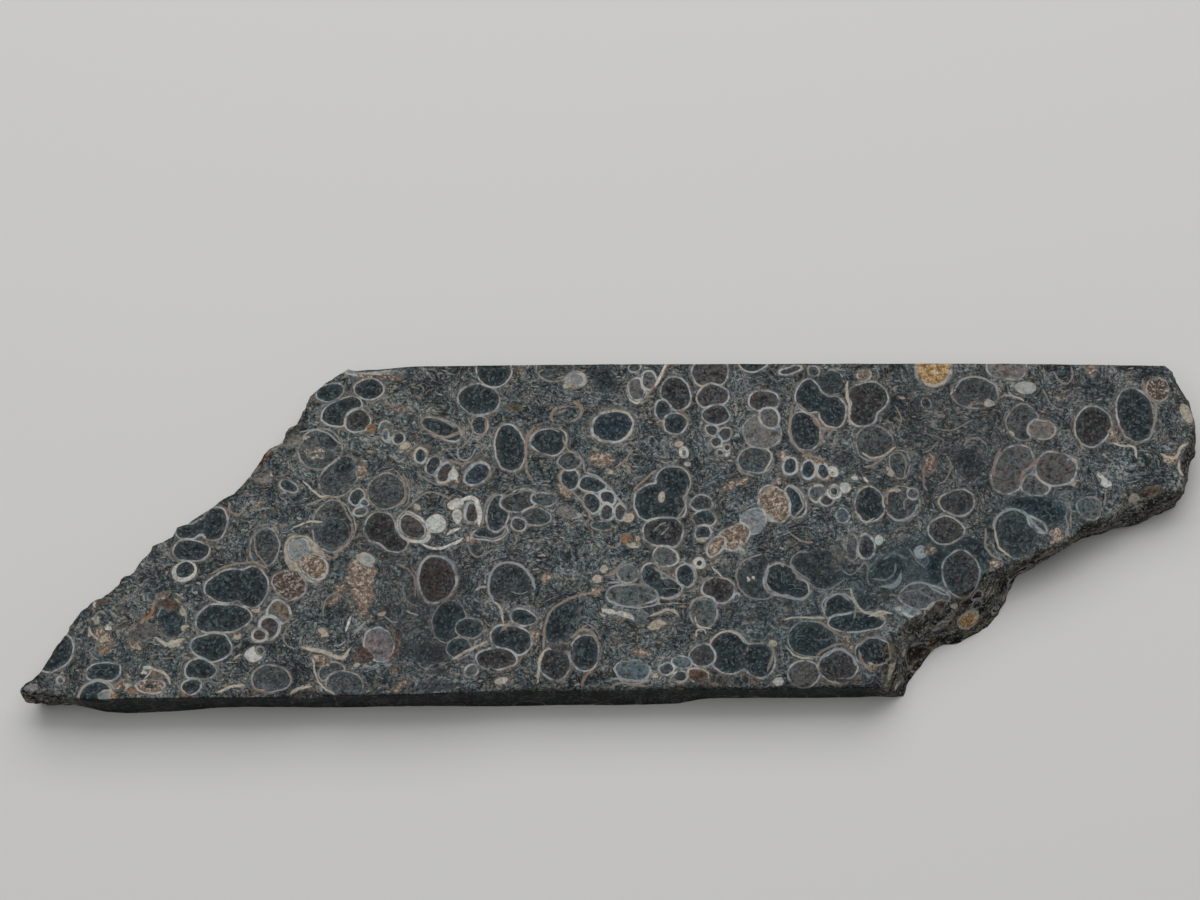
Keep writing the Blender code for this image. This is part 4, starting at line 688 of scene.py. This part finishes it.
class Line:
    """A cut fragment or a line of painted shade: signed distance to its middle, and its half width along
    it.
    """

    def __init__(self, fill, width, numbers):
        self.colour = FILLS[fill][0]
        self.width = width
        self.path = self.smooth_path(np.reshape(numbers, (-1, 2)).astype(float))
        middle = self.path.mean(axis=0)
        self.middle = (*middle, THICKNESS)
        self.reach = np.linalg.norm(self.path - middle, axis=1).max()

    @staticmethod
    def smooth_path(points, steps=5):
        """A Catmull-Rom curve through the points."""
        ends = np.vstack([2 * points[0] - points[1], points, 2 * points[-1] - points[-2]])
        path = []
        for p0, p1, p2, p3 in zip(ends, ends[1:], ends[2:], ends[3:]):
            for t in np.arange(steps) / steps:
                path.append(0.5 * (2 * p1 + (p2 - p0) * t + (2 * p0 - 5 * p1 + 4 * p2 - p3) * t ** 2
                                   + (3 * p1 - p0 - 3 * p2 + p3) * t ** 3))
        return np.vstack([path, points[-1]])

    def measure(self, cloud):
        self.near = cloud.around(self.middle, self.reach + FAR)
        flat = cloud.bent[self.near, :2]
        best = np.full(len(flat), 1e9)
        self.signed = np.full(len(flat), FAR)
        self.half_width = np.full(len(flat), -1.0)
        legs = np.diff(self.path, axis=0)
        lengths = np.linalg.norm(legs, axis=1)
        travelled = np.concatenate([[0.0], np.cumsum(lengths)])
        for start, leg, length, before in zip(self.path, legs, lengths, travelled):
            offset = flat - start
            raw = offset @ leg / length ** 2
            t = np.clip(raw, 0.0, 1.0)
            away = offset - t[:, None] * leg
            distance = np.linalg.norm(away, axis=1)
            closer = distance < best - 1e-9
            side = np.where(leg[0] * offset[:, 1] - leg[1] * offset[:, 0] < 0.0, -1.0, 1.0)
            along = before + raw * length
            from_end = np.minimum(along, travelled[-1] - along)
            taper = np.clip(0.35 + from_end / (2.0 * self.width), -1.0, 1.0)
            self.signed = np.where(closer, side * distance, self.signed)
            self.half_width = np.where(closer, 0.5 * self.width * taper, self.half_width)
            best = np.where(closer, distance, best)

    def away(self):
        return np.abs(self.signed)


def shown_whorls():
    """The whorls and scraps on the face, each half sunk under it, and those on the broken sides."""
    whorls = []
    for fill, *chambers in SHELLS:
        for chamber in chambers:
            own = chamber[-1] if isinstance(chamber[-1], str) else fill
            numbers = [value for value in chamber if not isinstance(value, str)]
            whorls.append(Whorl(own, numbers, THICKNESS))
    whorls += [Whorl(fill, numbers, THICKNESS, ragged=True) for fill, *numbers in SCRAPS]
    whorls += [Whorl(fill, numbers, height) for fill, height, *numbers in SIDE_SHELLS]
    return whorls


def hidden_whorls():
    """Shells on the back and low on the sides: rows of shrinking whorls, placed clear of each other."""
    rng = np.random.default_rng(HIDDEN_SEED)
    whorls = []
    taken = []
    for _ in range(HIDDEN_TRIES):
        x, y = [rng.uniform(-reach, reach) for reach in HIDDEN_REACH]
        z = rng.choice([0.0, 0.0, rng.uniform(*HIDDEN_LEVELS)])
        size = rng.uniform(*HIDDEN_SIZES)
        heading = rng.uniform(0, math.tau)
        row = []
        for _ in range(rng.integers(*HIDDEN_WHORLS)):
            row.append((x, y, size))
            x += math.cos(heading) * size * WHORL_STEP
            y += math.sin(heading) * size * WHORL_STEP
            size *= WHORL_SHRINK
        if any(math.hypot(x - u, y - v) < size + r + HIDDEN_GAP for x, y, size in row for u, v, r in taken):
            continue
        taken += row
        fill = str(rng.choice(HIDDEN_FILLS))
        for x, y, size in row:
            turn = math.degrees(heading) + rng.uniform(-10, 10)
            whorls.append(Whorl(fill, (x, y, size * 0.78, size * rng.uniform(1.0, 1.2), turn), z))
    return whorls


def cut_whorls(whorls, count):
    """Lets each whorl bite into the earlier ones that it overlaps, leaving room for its own wall."""
    field = np.full(count, FAR)
    for number, later in enumerate(whorls):
        field[later.near] = later.distance
        gap = later.wall + (WALL_GAP if later.wall else 0.0)
        for earlier in whorls[:number]:
            if math.dist(later.middle, earlier.middle) > later.reach + earlier.reach + 1.0:
                continue
            bite = gap - field[earlier.near]
            if (bite > earlier.distance).any():
                earlier.distance = smooth_max(earlier.distance, bite, BITE_SOFTNESS)
        field[later.near] = FAR


def layout(points, whorls, lines):
    """Measures every shape at the given points, in millimetres."""
    cloud = Cloud(points)
    for shape in whorls + lines:
        shape.measure(cloud)
    cut_whorls(whorls, len(points))


def share_out(shapes, count, groups):
    """Puts shapes that come near each other in different groups. Gives each group's shapes."""
    members = [[] for _ in range(groups)]
    field = np.full(count, FAR)
    for shape in shapes:
        field[shape.near] = shape.away()
        closest = []
        for group in members:
            gaps = [np.maximum(field[other.near], other.away()).min() for other in group if len(other.near)
                    and math.dist(shape.middle, other.middle) < shape.reach + other.reach + NEAR]
            closest.append(min(gaps, default=FAR))
        free = [g for g in range(groups) if closest[g] >= NEAR]
        members[free[0] if free else int(np.argmax(closest))].append(shape)
        field[shape.near] = FAR
    return members


# ---------------------------------------------------------------- the slab's mesh
def side_mesh(cad):
    """The CAD slab without its flat face and back, with its sides cut finer."""
    bm = bmesh.new()
    bm.from_mesh(cad.data)
    bmesh.ops.remove_doubles(bm, verts=bm.verts[:], dist=WELD * MM)
    flat = [f for f in bm.faces for level in (LOW.z, HIGH.z)
            if max(abs(v.co.z - level) for v in f.verts) < LEVEL_TOLERANCE]
    bmesh.ops.delete(bm, geom=flat, context="FACES")
    bmesh.ops.subdivide_edges(bm, edges=bm.edges[:], cuts=CUTS_ON_SIDES, use_grid_fill=True)
    bmesh.ops.triangulate(bm, faces=[f for f in bm.faces if len(f.verts) > 3])
    return bm


def is_sawn(x, y):
    """Whether a point on the side, in millimetres, lies on one of the two sawn sides."""
    return any(x0 < x < x1 and y0 < y < y1 for x0, x1, y0, y1 in SAWN_SIDES)


def roughen_sides(bm):
    """Softens the facets of the broken sides, then adds grit and thin ledges to them."""
    inner = [v for v in bm.verts if not v.is_boundary]
    broken = [v for v in inner if not is_sawn(v.co.x / MM, v.co.y / MM)]
    bmesh.ops.smooth_vert(bm, verts=broken, factor=0.5, use_axis_x=True, use_axis_y=True, use_axis_z=True)
    bm.normal_update()
    moves = []
    for v in broken:
        p = v.co / MM
        grit = noise.noise(p / GRIT_SIZE) + 0.6 * noise.noise(p / (0.5 * GRIT_SIZE))
        length, thickness = LEDGE_SIZE
        layer = noise.noise(Vector((p.x / length, p.y / length, p.z / thickness)))
        moves.append(v.normal * (GRIT_HEIGHT * grit - LEDGE_DEPTH * max(0.0, layer)) * MM)
    for v, move in zip(broken, moves):
        v.co += move
    low = (LOW.x, LOW.y, LOW.z + BACK_CLEARANCE * MM)
    high = (HIGH.x, HIGH.y, HIGH.z - FACE_CLEARANCE * MM)
    for v in inner:
        v.co = [min(max(place, least), most) for place, least, most in zip(v.co, low, high)]


def hex_grid(spacing):
    """Points of a triangular grid over the slab's box, with each point's column and row number."""
    row_step = spacing * math.sqrt(3.0) / 2.0
    columns = int((HIGH.x - LOW.x) / MM / spacing) + 2
    rows = int((HIGH.y - LOW.y) / MM / row_step) + 2
    i, j = np.meshgrid(np.arange(columns), np.arange(rows))
    x = LOW.x / MM + (i - 0.5 * (j % 2)) * spacing
    y = LOW.y / MM + j * row_step
    return np.stack([x.ravel(), y.ravel()], 1), i.ravel(), j.ravel()


def face_points(whorls, lines):
    """Points for the face: close together beside outlines, and further apart away from them."""
    flat, i, j = hex_grid(FINE)
    points = np.column_stack([flat, np.full(len(flat), THICKNESS)])
    layout(points, whorls, lines)
    nearest = np.full(len(points), FAR)
    for shape in whorls:
        np.minimum.at(nearest, shape.near, np.abs(shape.distance - 0.5 * shape.wall))
    for shape in lines:
        np.minimum.at(nearest, shape.near, shape.away())
    even = (i % 2 == 0) & (j % 2 == 0)
    third = (i % 3 == 0) & (j % 3 == 0)
    return flat[(nearest < FINE_REACH) | ((nearest < MIDDLE_REACH) & even) | third]


def clear_of_rim(points, fixed, segments):
    """The points that keep their distance from the segments of the rim."""
    clear = np.ones(len(points), bool)
    for a, b in segments:
        leg = fixed[b] - fixed[a]
        box = (np.abs(points - fixed[a]) < np.linalg.norm(leg) + 2 * RIM_CLEARANCE).all(axis=1)
        offset = points[box] - fixed[a]
        t = np.clip(offset @ leg / (leg @ leg), 0.0, 1.0)
        clear[box] &= np.linalg.norm(offset - t[:, None] * leg, axis=1) > RIM_CLEARANCE
    return points[clear]


def fill_flat(bm, height, points, upward):
    """Fills the rim and any hollow at one height with triangles through the given points."""
    rim = [e for e in bm.edges
           if e.is_boundary and all(abs(v.co.z - height) < LEVEL_TOLERANCE for v in e.verts)]
    verts = list({v for e in rim for v in e.verts})
    place = {v: k for k, v in enumerate(verts)}
    fixed = np.array([(v.co.x / MM, v.co.y / MM) for v in verts])
    segments = [(place[e.verts[0]], place[e.verts[1]]) for e in rim]
    inside = clear_of_rim(points, fixed, segments)
    flat = [tuple(p) for p in np.vstack([fixed, inside])]
    found, _, faces, origin, _, _ = delaunay_2d_cdt(flat, segments, [], 2, 1e-7)
    corners = []
    for position, sources in zip(found, origin):
        known = [s for s in sources if s < len(verts)]
        spot = (position.x * MM, position.y * MM, height)
        corners.append(verts[known[0]] if known else bm.verts.new(spot))
    for a, b, c in faces:
        order = (a, b, c) if upward else (c, b, a)
        bm.faces.new([corners[k] for k in order])


def drop_loose(bm):
    loose = [v for v in bm.verts if not v.link_faces]
    bmesh.ops.delete(bm, geom=loose, context="VERTS")


# ---------------------------------------------------------------- what the material reads from the mesh
def store(mesh, name, values):
    """Stores three or four numbers for each vertex."""
    kind, field = ("FLOAT_COLOR", "color") if values.shape[1] == 4 else ("FLOAT_VECTOR", "vector")
    attribute = mesh.attributes.new(name, kind, "POINT")
    attribute.data.foreach_set(field, np.ascontiguousarray(values, np.float32).ravel())


def paint_whorls(mesh, whorls, count):
    """Stores each group's distances, fills and walls. Gives the distance to the nearest whorl."""
    distances = []
    for number, group in enumerate(share_out(whorls, count, GROUPS)):
        distance = np.full(count, FAR)
        fill = np.zeros((count, 4))
        wall = np.zeros((count, 3))
        for whorl in group:
            closer = whorl.distance < distance[whorl.near]
            chosen = whorl.near[closer]
            distance[chosen] = whorl.distance[closer]
            fill[chosen] = (*linear(whorl.colour), whorl.texture)
            wall[chosen] = (whorl.wall, whorl.whiteness, whorl.seam)
        store(mesh, f"fill_{number}", fill)
        store(mesh, f"wall_{number}", wall)
        distances.append(distance)
    for number in range(0, GROUPS, 3):
        store(mesh, f"distance_{number // 3}", np.stack(distances[number:number + 3], 1))
    return np.min(distances, axis=0)


def paint_lines(mesh, lines, count):
    """Stores each group's colours with the signed distances, and the half widths."""
    half_widths = []
    for number, group in enumerate(share_out(lines, count, LINE_GROUPS)):
        best = np.full(count, FAR)
        colour = np.zeros((count, 4))
        colour[:, 3] = FAR
        half_width = np.full(count, -1.0)
        for line in group:
            closer = line.away() < best[line.near]
            chosen = line.near[closer]
            best[chosen] = line.away()[closer]
            colour[chosen, :3] = linear(line.colour)
            colour[chosen, 3] = line.signed[closer]
            half_width[chosen] = line.half_width[closer]
        store(mesh, f"line_{number}", colour)
        half_widths.append(half_width)
    store(mesh, "line_width", np.stack(half_widths, 1))


def tints(points):
    """What the colour of the stone is multiplied by at each point, and how even the stone is there."""
    result = np.ones((len(points), 4))
    result[:, 3] = 0.0
    for factor, even, x, y, length, width, *turn in TINTS:
        angle = math.radians(sum(turn))
        along = (points[:, 0] - x) * math.cos(angle) + (points[:, 1] - y) * math.sin(angle)
        across = (points[:, 1] - y) * math.cos(angle) - (points[:, 0] - x) * math.sin(angle)
        weight = np.exp(-((along / length) ** 2 + (across / width) ** 2) ** 1.5)
        result[:, :3] *= 1.0 + weight[:, None] * (np.array(factor) - 1.0)
        result[:, 3] += weight * even
    return result


def per_vertex(mesh, field):
    values = np.empty(len(mesh.vertices) * 3)
    mesh.vertices.foreach_get(field, values)
    return values.reshape(-1, 3)


def paint(mesh, whorls, lines):
    """Stores on the mesh what its material needs: distances to the shapes, their fills and their walls."""
    points = per_vertex(mesh, "co") / MM
    layout(points, whorls, lines)
    nearest = paint_whorls(mesh, whorls, len(points))
    paint_lines(mesh, lines, len(points))
    sawn = np.array([is_sawn(x, y) for x, y in points[:, :2]])
    steep = 1.0 - np.abs(per_vertex(mesh, "normal")[:, 2])
    side = np.clip((steep - np.where(sawn, STEEP_SAWN, STEEP_BROKEN)) / STEEP_FADE, 0.0, 1.0)
    store(mesh, "zone", np.stack([side, side * sawn, nearest], 1))
    store(mesh, "tint", tints(points))


# ---------------------------------------------------------------- materials
class Value:
    """A number that a shader node puts out, to write sums and products with."""

    def __init__(self, nodes, socket):
        self.nodes, self.socket = nodes, socket

    def __add__(self, other):
        return self.nodes.math("ADD", self, other)

    def __mul__(self, other):
        return self.nodes.math("MULTIPLY", self, other)

    def __sub__(self, other):
        return self.nodes.math("SUBTRACT", self, other)

    def __rsub__(self, other):
        return self.nodes.math("SUBTRACT", other, self)

    __radd__ = __add__
    __rmul__ = __mul__


class Nodes:
    """A new material, and short names for the shader nodes that the materials here use."""

    def __init__(self, name):
        self.material = bpy.data.materials.new(name)
        self.material.use_nodes = True
        self.tree = self.material.node_tree
        self.shader = self.tree.nodes["Principled BSDF"]

    def add(self, kind, **inputs):
        """A new node of one kind, with the inputs that are named."""
        node = self.tree.nodes.new("ShaderNode" + kind)
        for name, value in inputs.items():
            self.put(node.inputs[name], value)
        return node

    def put(self, socket, value):
        """Gives a socket a constant, or the output of another node."""
        value = value.socket if isinstance(value, Value) else value
        if isinstance(value, bpy.types.NodeSocket):
            self.tree.links.new(value, socket)
        else:
            socket.default_value = value

    def math(self, operation, a, b=0.0):
        node = self.add("Math")
        node.operation = operation
        self.put(node.inputs[0], a)
        self.put(node.inputs[1], b)
        return Value(self, node.outputs[0])

    def vector(self, operation, a, b):
        node = self.add("VectorMath")
        node.operation = operation
        self.put(node.inputs[0], a)
        self.put(node.inputs[3 if operation == "SCALE" else 1], b)
        return node.outputs[0]

    def step(self, value, low, high):
        """0 below low, 1 above high, smooth between. With low above high it falls."""
        node = self.add("MapRange", **{"Value": value, "From Min": low, "From Max": high})
        node.interpolation_type = "SMOOTHSTEP"
        return Value(self, node.outputs["Result"])

    def mix(self, factor, a, b, blend="MIX"):
        node = self.add("Mix")
        node.data_type = "RGBA"
        node.blend_type = blend
        for name, value in (("Factor", factor), ("A", a), ("B", b)):
            self.put(node.inputs[name], value)
        return node.outputs["Result"]

    def noise(self, vector, size, detail=2.0, roughness=0.5, distortion=0.0):
        """Noise whose lumps are about `size` across, when the vector is in millimetres."""
        node = self.add("TexNoise", Vector=vector, Scale=1.0 / size, Detail=detail, Roughness=roughness,
                        Distortion=distortion)
        return Value(self, node.outputs["Fac"]), node.outputs["Color"]

    def cells(self, vector, scale):
        """Voronoi cells: the distance to a cell's middle, and three random values for each cell."""
        node = self.add("TexVoronoi", Vector=vector, Scale=scale)
        return Value(self, node.outputs["Distance"]), self.split(node.outputs["Color"])

    def attribute(self, name):
        node = self.add("Attribute")
        node.attribute_name = name
        return node.outputs

    def split(self, vector):
        node = self.add("SeparateXYZ", Vector=vector)
        return [Value(self, socket) for socket in node.outputs]

    def combine(self, x, y, z):
        return self.add("CombineXYZ", X=x, Y=y, Z=z).outputs[0]

    def ramp(self, value, stops):
        """A colour ramp. Each stop is a place from 0 to 1 and an sRGB colour."""
        node = self.add("ValToRGB", Fac=value)
        elements = node.color_ramp.elements
        for place, _ in stops[1:-1]:
            elements.new(place)
        for element, (place, rgb) in zip(elements, stops):
            element.position = place
            element.color = rgba(rgb)
        return node.outputs["Color"]


def hairlines(n, vector, size, half_width, breaks):
    """Thin broken lines that wander: 1 on a line, 0 off it. Sizes are in millimetres."""
    field, _ = n.noise(vector, size, 1.0, 0.5, 1.8)
    off = n.math("ABSOLUTE", field - 0.5)
    slope = 0.30 / size
    line = n.step(off, slope * half_width * 1.6, slope * half_width * 0.5)
    mask, _ = n.noise(vector, size * 0.7, 1.0)
    return line * n.step(mask, breaks, breaks + 0.06)


def flakes(n, place, angle, length, width, share):
    """Thin chips of shell lying at an angle: 1 on a chip, and a random value for each chip."""
    turned = n.add("Mapping", Vector=place, Rotation=(0.0, 0.0, angle),
                   Scale=(1.0 / length, 1.0 / width, 1.0 / length))
    distance, (chance, shade, size) = n.cells(turned.outputs["Vector"], 1.0)
    radius = n.step(chance, 1.0 - share, 1.0 - 0.5 * share) * (0.22 + size * 0.22)
    return n.step(radius - distance, 0.0, 0.07), shade


def matrix_colour(n, place, nearest, chance, hue):
    """The stone between the shells: angular grains, wisps that bend round the shells, and chips."""
    broad, sway = n.noise(place, SWAY, 2.0)
    swayed = n.vector("ADD", place, n.vector("SCALE", sway, SWAY_REACH))
    x, y, _ = n.split(swayed)
    along = n.combine(nearest * 2.5, x, y)
    lumps, _ = n.noise(along, LUMP, 4.0, 0.72, 0.6)
    value = (lumps * 0.85 + broad * 0.35 + chance * 0.17) * 0.718
    patches, _ = n.noise(swayed, PATCH, 3.0, 0.6, 0.8)
    warmth = n.step(patches + hue * 0.10, 0.54, 0.68) * 0.75
    colour = n.mix(warmth, n.ramp(value, COOL_GRAINS), n.ramp(value, WARM_GRAINS))
    dark_lines = hairlines(n, swayed, *DARK_HAIRLINES)
    tan_lines = hairlines(n, n.vector("ADD", along, (7.0, 3.0, 1.0)), *TAN_HAIRLINES)
    colour = n.mix(dark_lines * 0.7, colour, rgba(DARK_HAIRS))
    colour = n.mix(tan_lines * 0.7, colour, rgba(TAN_HAIRS))
    bent = n.vector("ADD", place, n.vector("SCALE", sway, CHIP_SWAY))
    for chip in CHIPS:
        mask, shade = flakes(n, bent, *chip)
        colour = n.mix(mask * 0.75, colour, n.ramp(shade, CHIP_TONES))
    return colour, value


def whorl_group(n, number):
    """What the mesh says of one group: distance, fill, wall width, wall whiteness and seam width."""
    distance = n.split(n.attribute(f"distance_{number // 3}")["Vector"])[number % 3]
    return distance, n.attribute(f"fill_{number}"), *n.split(n.attribute(f"wall_{number}")["Vector"])


def shell_layers(n, place, base, chance, hue):
    """Lays the seams, fills and walls of the cut whorls over the matrix."""
    fuzz, _ = n.noise(place, FUZZ, 2.0, 0.6)
    cloud, _ = n.noise(place, MOTTLE, 4.0, 0.68, 0.6)
    blotch, blotches = n.noise(place, BLOTCH, 3.0, 0.6, 0.5)
    first, second, third = n.split(blotches)
    crystal, _ = n.noise(place, CRYSTAL, 3.0, 0.7, 0.8)
    seam_colour = n.ramp(crystal, SEAM_TONES)
    wall_colour = n.ramp(second, WALL_TONES)
    fuzz = (fuzz - 0.5) * FUZZ_REACH
    groups = [(distance + fuzz, *rest) for distance, *rest in (whorl_group(n, k) for k in range(GROUPS))]
    colour = base
    varied = 0.25 + blotch * 1.5
    patchy = n.step(cloud, 0.34, 0.60)
    for distance, _, width, _, seam in groups:
        outer = width + seam * varied
        amount = n.step(distance, outer, outer * 0.5) * n.step(seam, 0.0, 0.2) * patchy
        colour = n.mix(amount * 0.75, colour, seam_colour)
    mottle = n.math("MAXIMUM", cloud * 4.2 + chance * 0.85 - 1.65, 0.2)
    speckle = n.combine(mottle, mottle, mottle)
    calm = n.mix(0.5, speckle, (1.0, 1.0, 1.0, 1.0))
    stain = n.mix(n.step(first, 0.42, 0.60), rgba(COOL_STAIN), rgba(WARM_STAIN))
    glint = n.step(hue, 0.72, 0.90) * 0.75
    crystal = crystal + (chance - 0.5) * 0.16
    twinkle = 0.45 + n.step(crystal, 0.34, 0.66) * 1.05
    frost = n.step(crystal, 0.52, 0.68) * 0.75
    thickness = 0.30 + blotch * 1.3
    strength = n.step(third, 0.36, 0.56) + 0.25
    for distance, fill, width, whiteness, _ in groups:
        bright = n.step(fill["Fac"], 0.05, 0.35)
        body = n.mix(1.0, fill["Color"], n.mix(bright, speckle, calm), "MULTIPLY")
        body = n.mix(0.6, body, stain, "MULTIPLY")
        body = n.mix(glint, body, n.mix(n.math("MAXIMUM", bright, 0.35), rgba(GLINT), fill["Color"]))
        body = n.mix(n.step(distance, -0.9, 0.0) * 0.16, body, rgba(RIM_HAZE))
        crystals = n.mix(frost, n.vector("SCALE", fill["Color"], twinkle), rgba(FROST))
        body = n.mix(n.step(fill["Alpha"], 0.0, 1.0), body, crystals)
        body = n.mix(n.step(fill["Alpha"], 0.0, -1.0), body, n.mix(0.45, base, body))
        colour = n.mix(n.step(distance, 0.05, -0.05), colour, body)
        edge = width * thickness
        band = n.step(distance, -0.06, 0.03) * n.step(distance, edge + 0.16, edge * 0.6)
        band = band * n.step(width, 0.02, 0.12)
        colour = n.mix(band * (whiteness * strength), colour, wall_colour)
    return colour


def line_layers(n, place, colour):
    """Lays the cut fragments and the lines of painted shade over everything else."""
    fuzz, streaks = n.noise(place, STREAK, 3.0, 0.62)
    fuzz = (fuzz - 0.5) * STREAK_REACH
    shade, gap, third = n.split(streaks)
    lit = 0.65 + shade * 1.1
    unbroken = n.step(gap, 0.26, 0.42)
    for number, width in enumerate(n.split(n.attribute("line_width")["Vector"])):
        line = n.attribute(f"line_{number}")
        distance = n.math("ABSOLUTE", line["Alpha"]) + fuzz
        mask = n.step(distance, width + 0.08, width * 0.5) * n.step(width, 0.0, 0.05) * unbroken
        body = n.vector("SCALE", line["Color"], lit)
        body = n.mix(n.step(third, 0.46, 0.58), body, n.mix(0.65, body, rgba(WORN_LINE)))
        colour = n.mix(mask * 0.9, colour, body)
    return colour


def broken_colour(n, place, colour, hue):
    """The stone where it is broken: dust-coloured, with streaks of painted highlight, painted shade in
    crevices, and a few painted glints.
    """
    layers, _ = n.noise(n.vector("MULTIPLY", place, (0.5, 0.5, 1.6)), PAINTED_LIGHT_BAND, 4.0, 0.65, 0.8)
    dust_with_painted_light = n.mix(0.5, colour, rgba(DUST))
    # Painted highlight: pale streaks where the break catches the light.
    dust_with_painted_light = n.mix(n.step(layers, 0.52, 0.64) * 0.8, dust_with_painted_light, rgba(PAINTED_HIGHLIGHT_STREAK))
    # Painted shade: dark crevices in the break.
    dust_with_painted_light = n.mix(n.step(layers, 0.51, 0.40), dust_with_painted_light, rgba(PAINTED_CREVICE_SHADE))
    dust_with_painted_light = n.mix(1.0 - n.step(colour, 0.11, 0.24) * 0.75, colour, dust_with_painted_light)
    # Painted glints: a few bright specks on the break.
    return n.mix(n.step(hue, 0.80, 0.92) * 0.55, dust_with_painted_light, rgba(PAINTED_GLINT))


def slab_material():
    """Silicified mudstone full of shells: satin on the face, dull and browner where it is broken."""
    n = Nodes("fossil_stone_face")
    place = n.vector("SCALE", n.add("TexCoord").outputs["Object"], 1.0 / MM)
    side, sawn, nearest = n.split(n.attribute("zone")["Vector"])
    _, jitter = n.noise(place, GRAIN_JITTER, 2.0)
    _, (chance, hue, _) = n.cells(n.vector("ADD", place, jitter), 1.0 / GRAIN)
    base, value = matrix_colour(n, place, nearest, chance, hue)
    tint = n.attribute("tint")
    base = n.mix(tint["Alpha"], base, rgba(EVEN_STONE))
    colour = shell_layers(n, place, base, chance, hue)
    colour = line_layers(n, place, colour)
    colour = n.mix(1.0, colour, tint["Color"], "MULTIPLY")
    colour = n.mix(side * (1.0 - sawn), colour, broken_colour(n, place, colour, hue))
    # Sawn sides: darkened partly for their grimier sawn surface and mostly with painted shade.
    colour = n.mix(sawn * 0.72, colour, rgba(SAWN_GRIME_AND_SHADE))
    bump = n.add("Bump", Distance=RELIEF_HEIGHT * MM, Strength=0.5, Height=n.noise(place, RELIEF, 1.0)[0])
    n.put(n.shader.inputs["Base Color"], colour)
    n.put(n.shader.inputs["Roughness"], 0.48 + value * 0.16 + side * 0.25)
    n.put(n.shader.inputs["Specular IOR Level"], 0.1)
    n.put(n.shader.inputs["Normal"], bump.outputs["Normal"])
    return n.material


def build_slab():
    """The finished slab: a closed mesh with a fine face, roughened sides and a plainer back."""
    whorls = hidden_whorls() + shown_whorls()
    lines = [Line(fill, width, numbers) for fill, width, *numbers in LINES]
    bm = side_mesh(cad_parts["slab"])
    roughen_sides(bm)
    fill_flat(bm, HIGH.z, face_points(whorls, lines), upward=True)
    fill_flat(bm, LOW.z, hex_grid(BACK_SPACING)[0], upward=False)
    drop_loose(bm)
    mesh = bpy.data.meshes.new("slab_stone")
    bm.to_mesh(mesh)
    bm.free()
    mesh.shade_smooth()
    mesh.set_sharp_from_angle(angle=SHARP_ANGLE)
    paint(mesh, whorls, lines)
    stone = bpy.data.objects.new("slab_stone", mesh)
    bpy.context.collection.objects.link(stone)
    mesh.materials.append(slab_material())
    return stone


# ---------------------------------------------------------------- studio
def build_floor():
    r = FLOOR_REACH
    mesh = bpy.data.meshes.new("floor")
    mesh.from_pydata([(-r, -r, 0.0), (r, -r, 0.0), (r, r, 0.0), (-r, r, 0.0)], [], [(0, 1, 2, 3)])
    floor = bpy.data.objects.new("floor", mesh)
    bpy.context.collection.objects.link(floor)
    n = Nodes("floor_paper")
    n.put(n.shader.inputs["Base Color"], rgba(FLOOR_COLOUR))
    n.put(n.shader.inputs["Roughness"], 0.9)
    mesh.materials.append(n.material)


def add_area_light(name, location, size, power):
    """A rectangular light that shines at the slab."""
    light = bpy.data.lights.new(name, "AREA")
    light.shape = "RECTANGLE"
    light.size, light.size_y = size
    light.energy = power
    lamp = bpy.data.objects.new(name, light)
    lamp.location = location
    lamp.rotation_euler = (-Vector(location)).to_track_quat("-Z", "Y").to_euler()
    bpy.context.collection.objects.link(lamp)


def build_studio():
    build_floor()
    for light in LIGHTS:
        add_area_light(*light)
    world = bpy.data.worlds.new("studio")
    world.use_nodes = True
    background = world.node_tree.nodes["Background"]
    background.inputs["Color"].default_value = SKY_COLOUR
    background.inputs["Strength"].default_value = SKY_STRENGTH
    bpy.context.scene.world = world
    bpy.context.scene.view_settings.view_transform = "Standard"


def add_camera():
    camera = bpy.data.cameras.new("camera")
    camera.lens = CAMERA_LENS
    camera.clip_start = 0.01
    eye = bpy.data.objects.new("camera", camera)
    back = Vector((0.0, -math.cos(CAMERA_ELEVATION), math.sin(CAMERA_ELEVATION)))
    eye.location = AIM + back * CAMERA_DISTANCE
    eye.rotation_euler = (math.pi / 2.0 - CAMERA_ELEVATION, 0.0, 0.0)
    bpy.context.collection.objects.link(eye)
    bpy.context.scene.camera = eye


add_camera()
build_studio()
stone = build_slab()
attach(stone, "root")
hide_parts("slab")
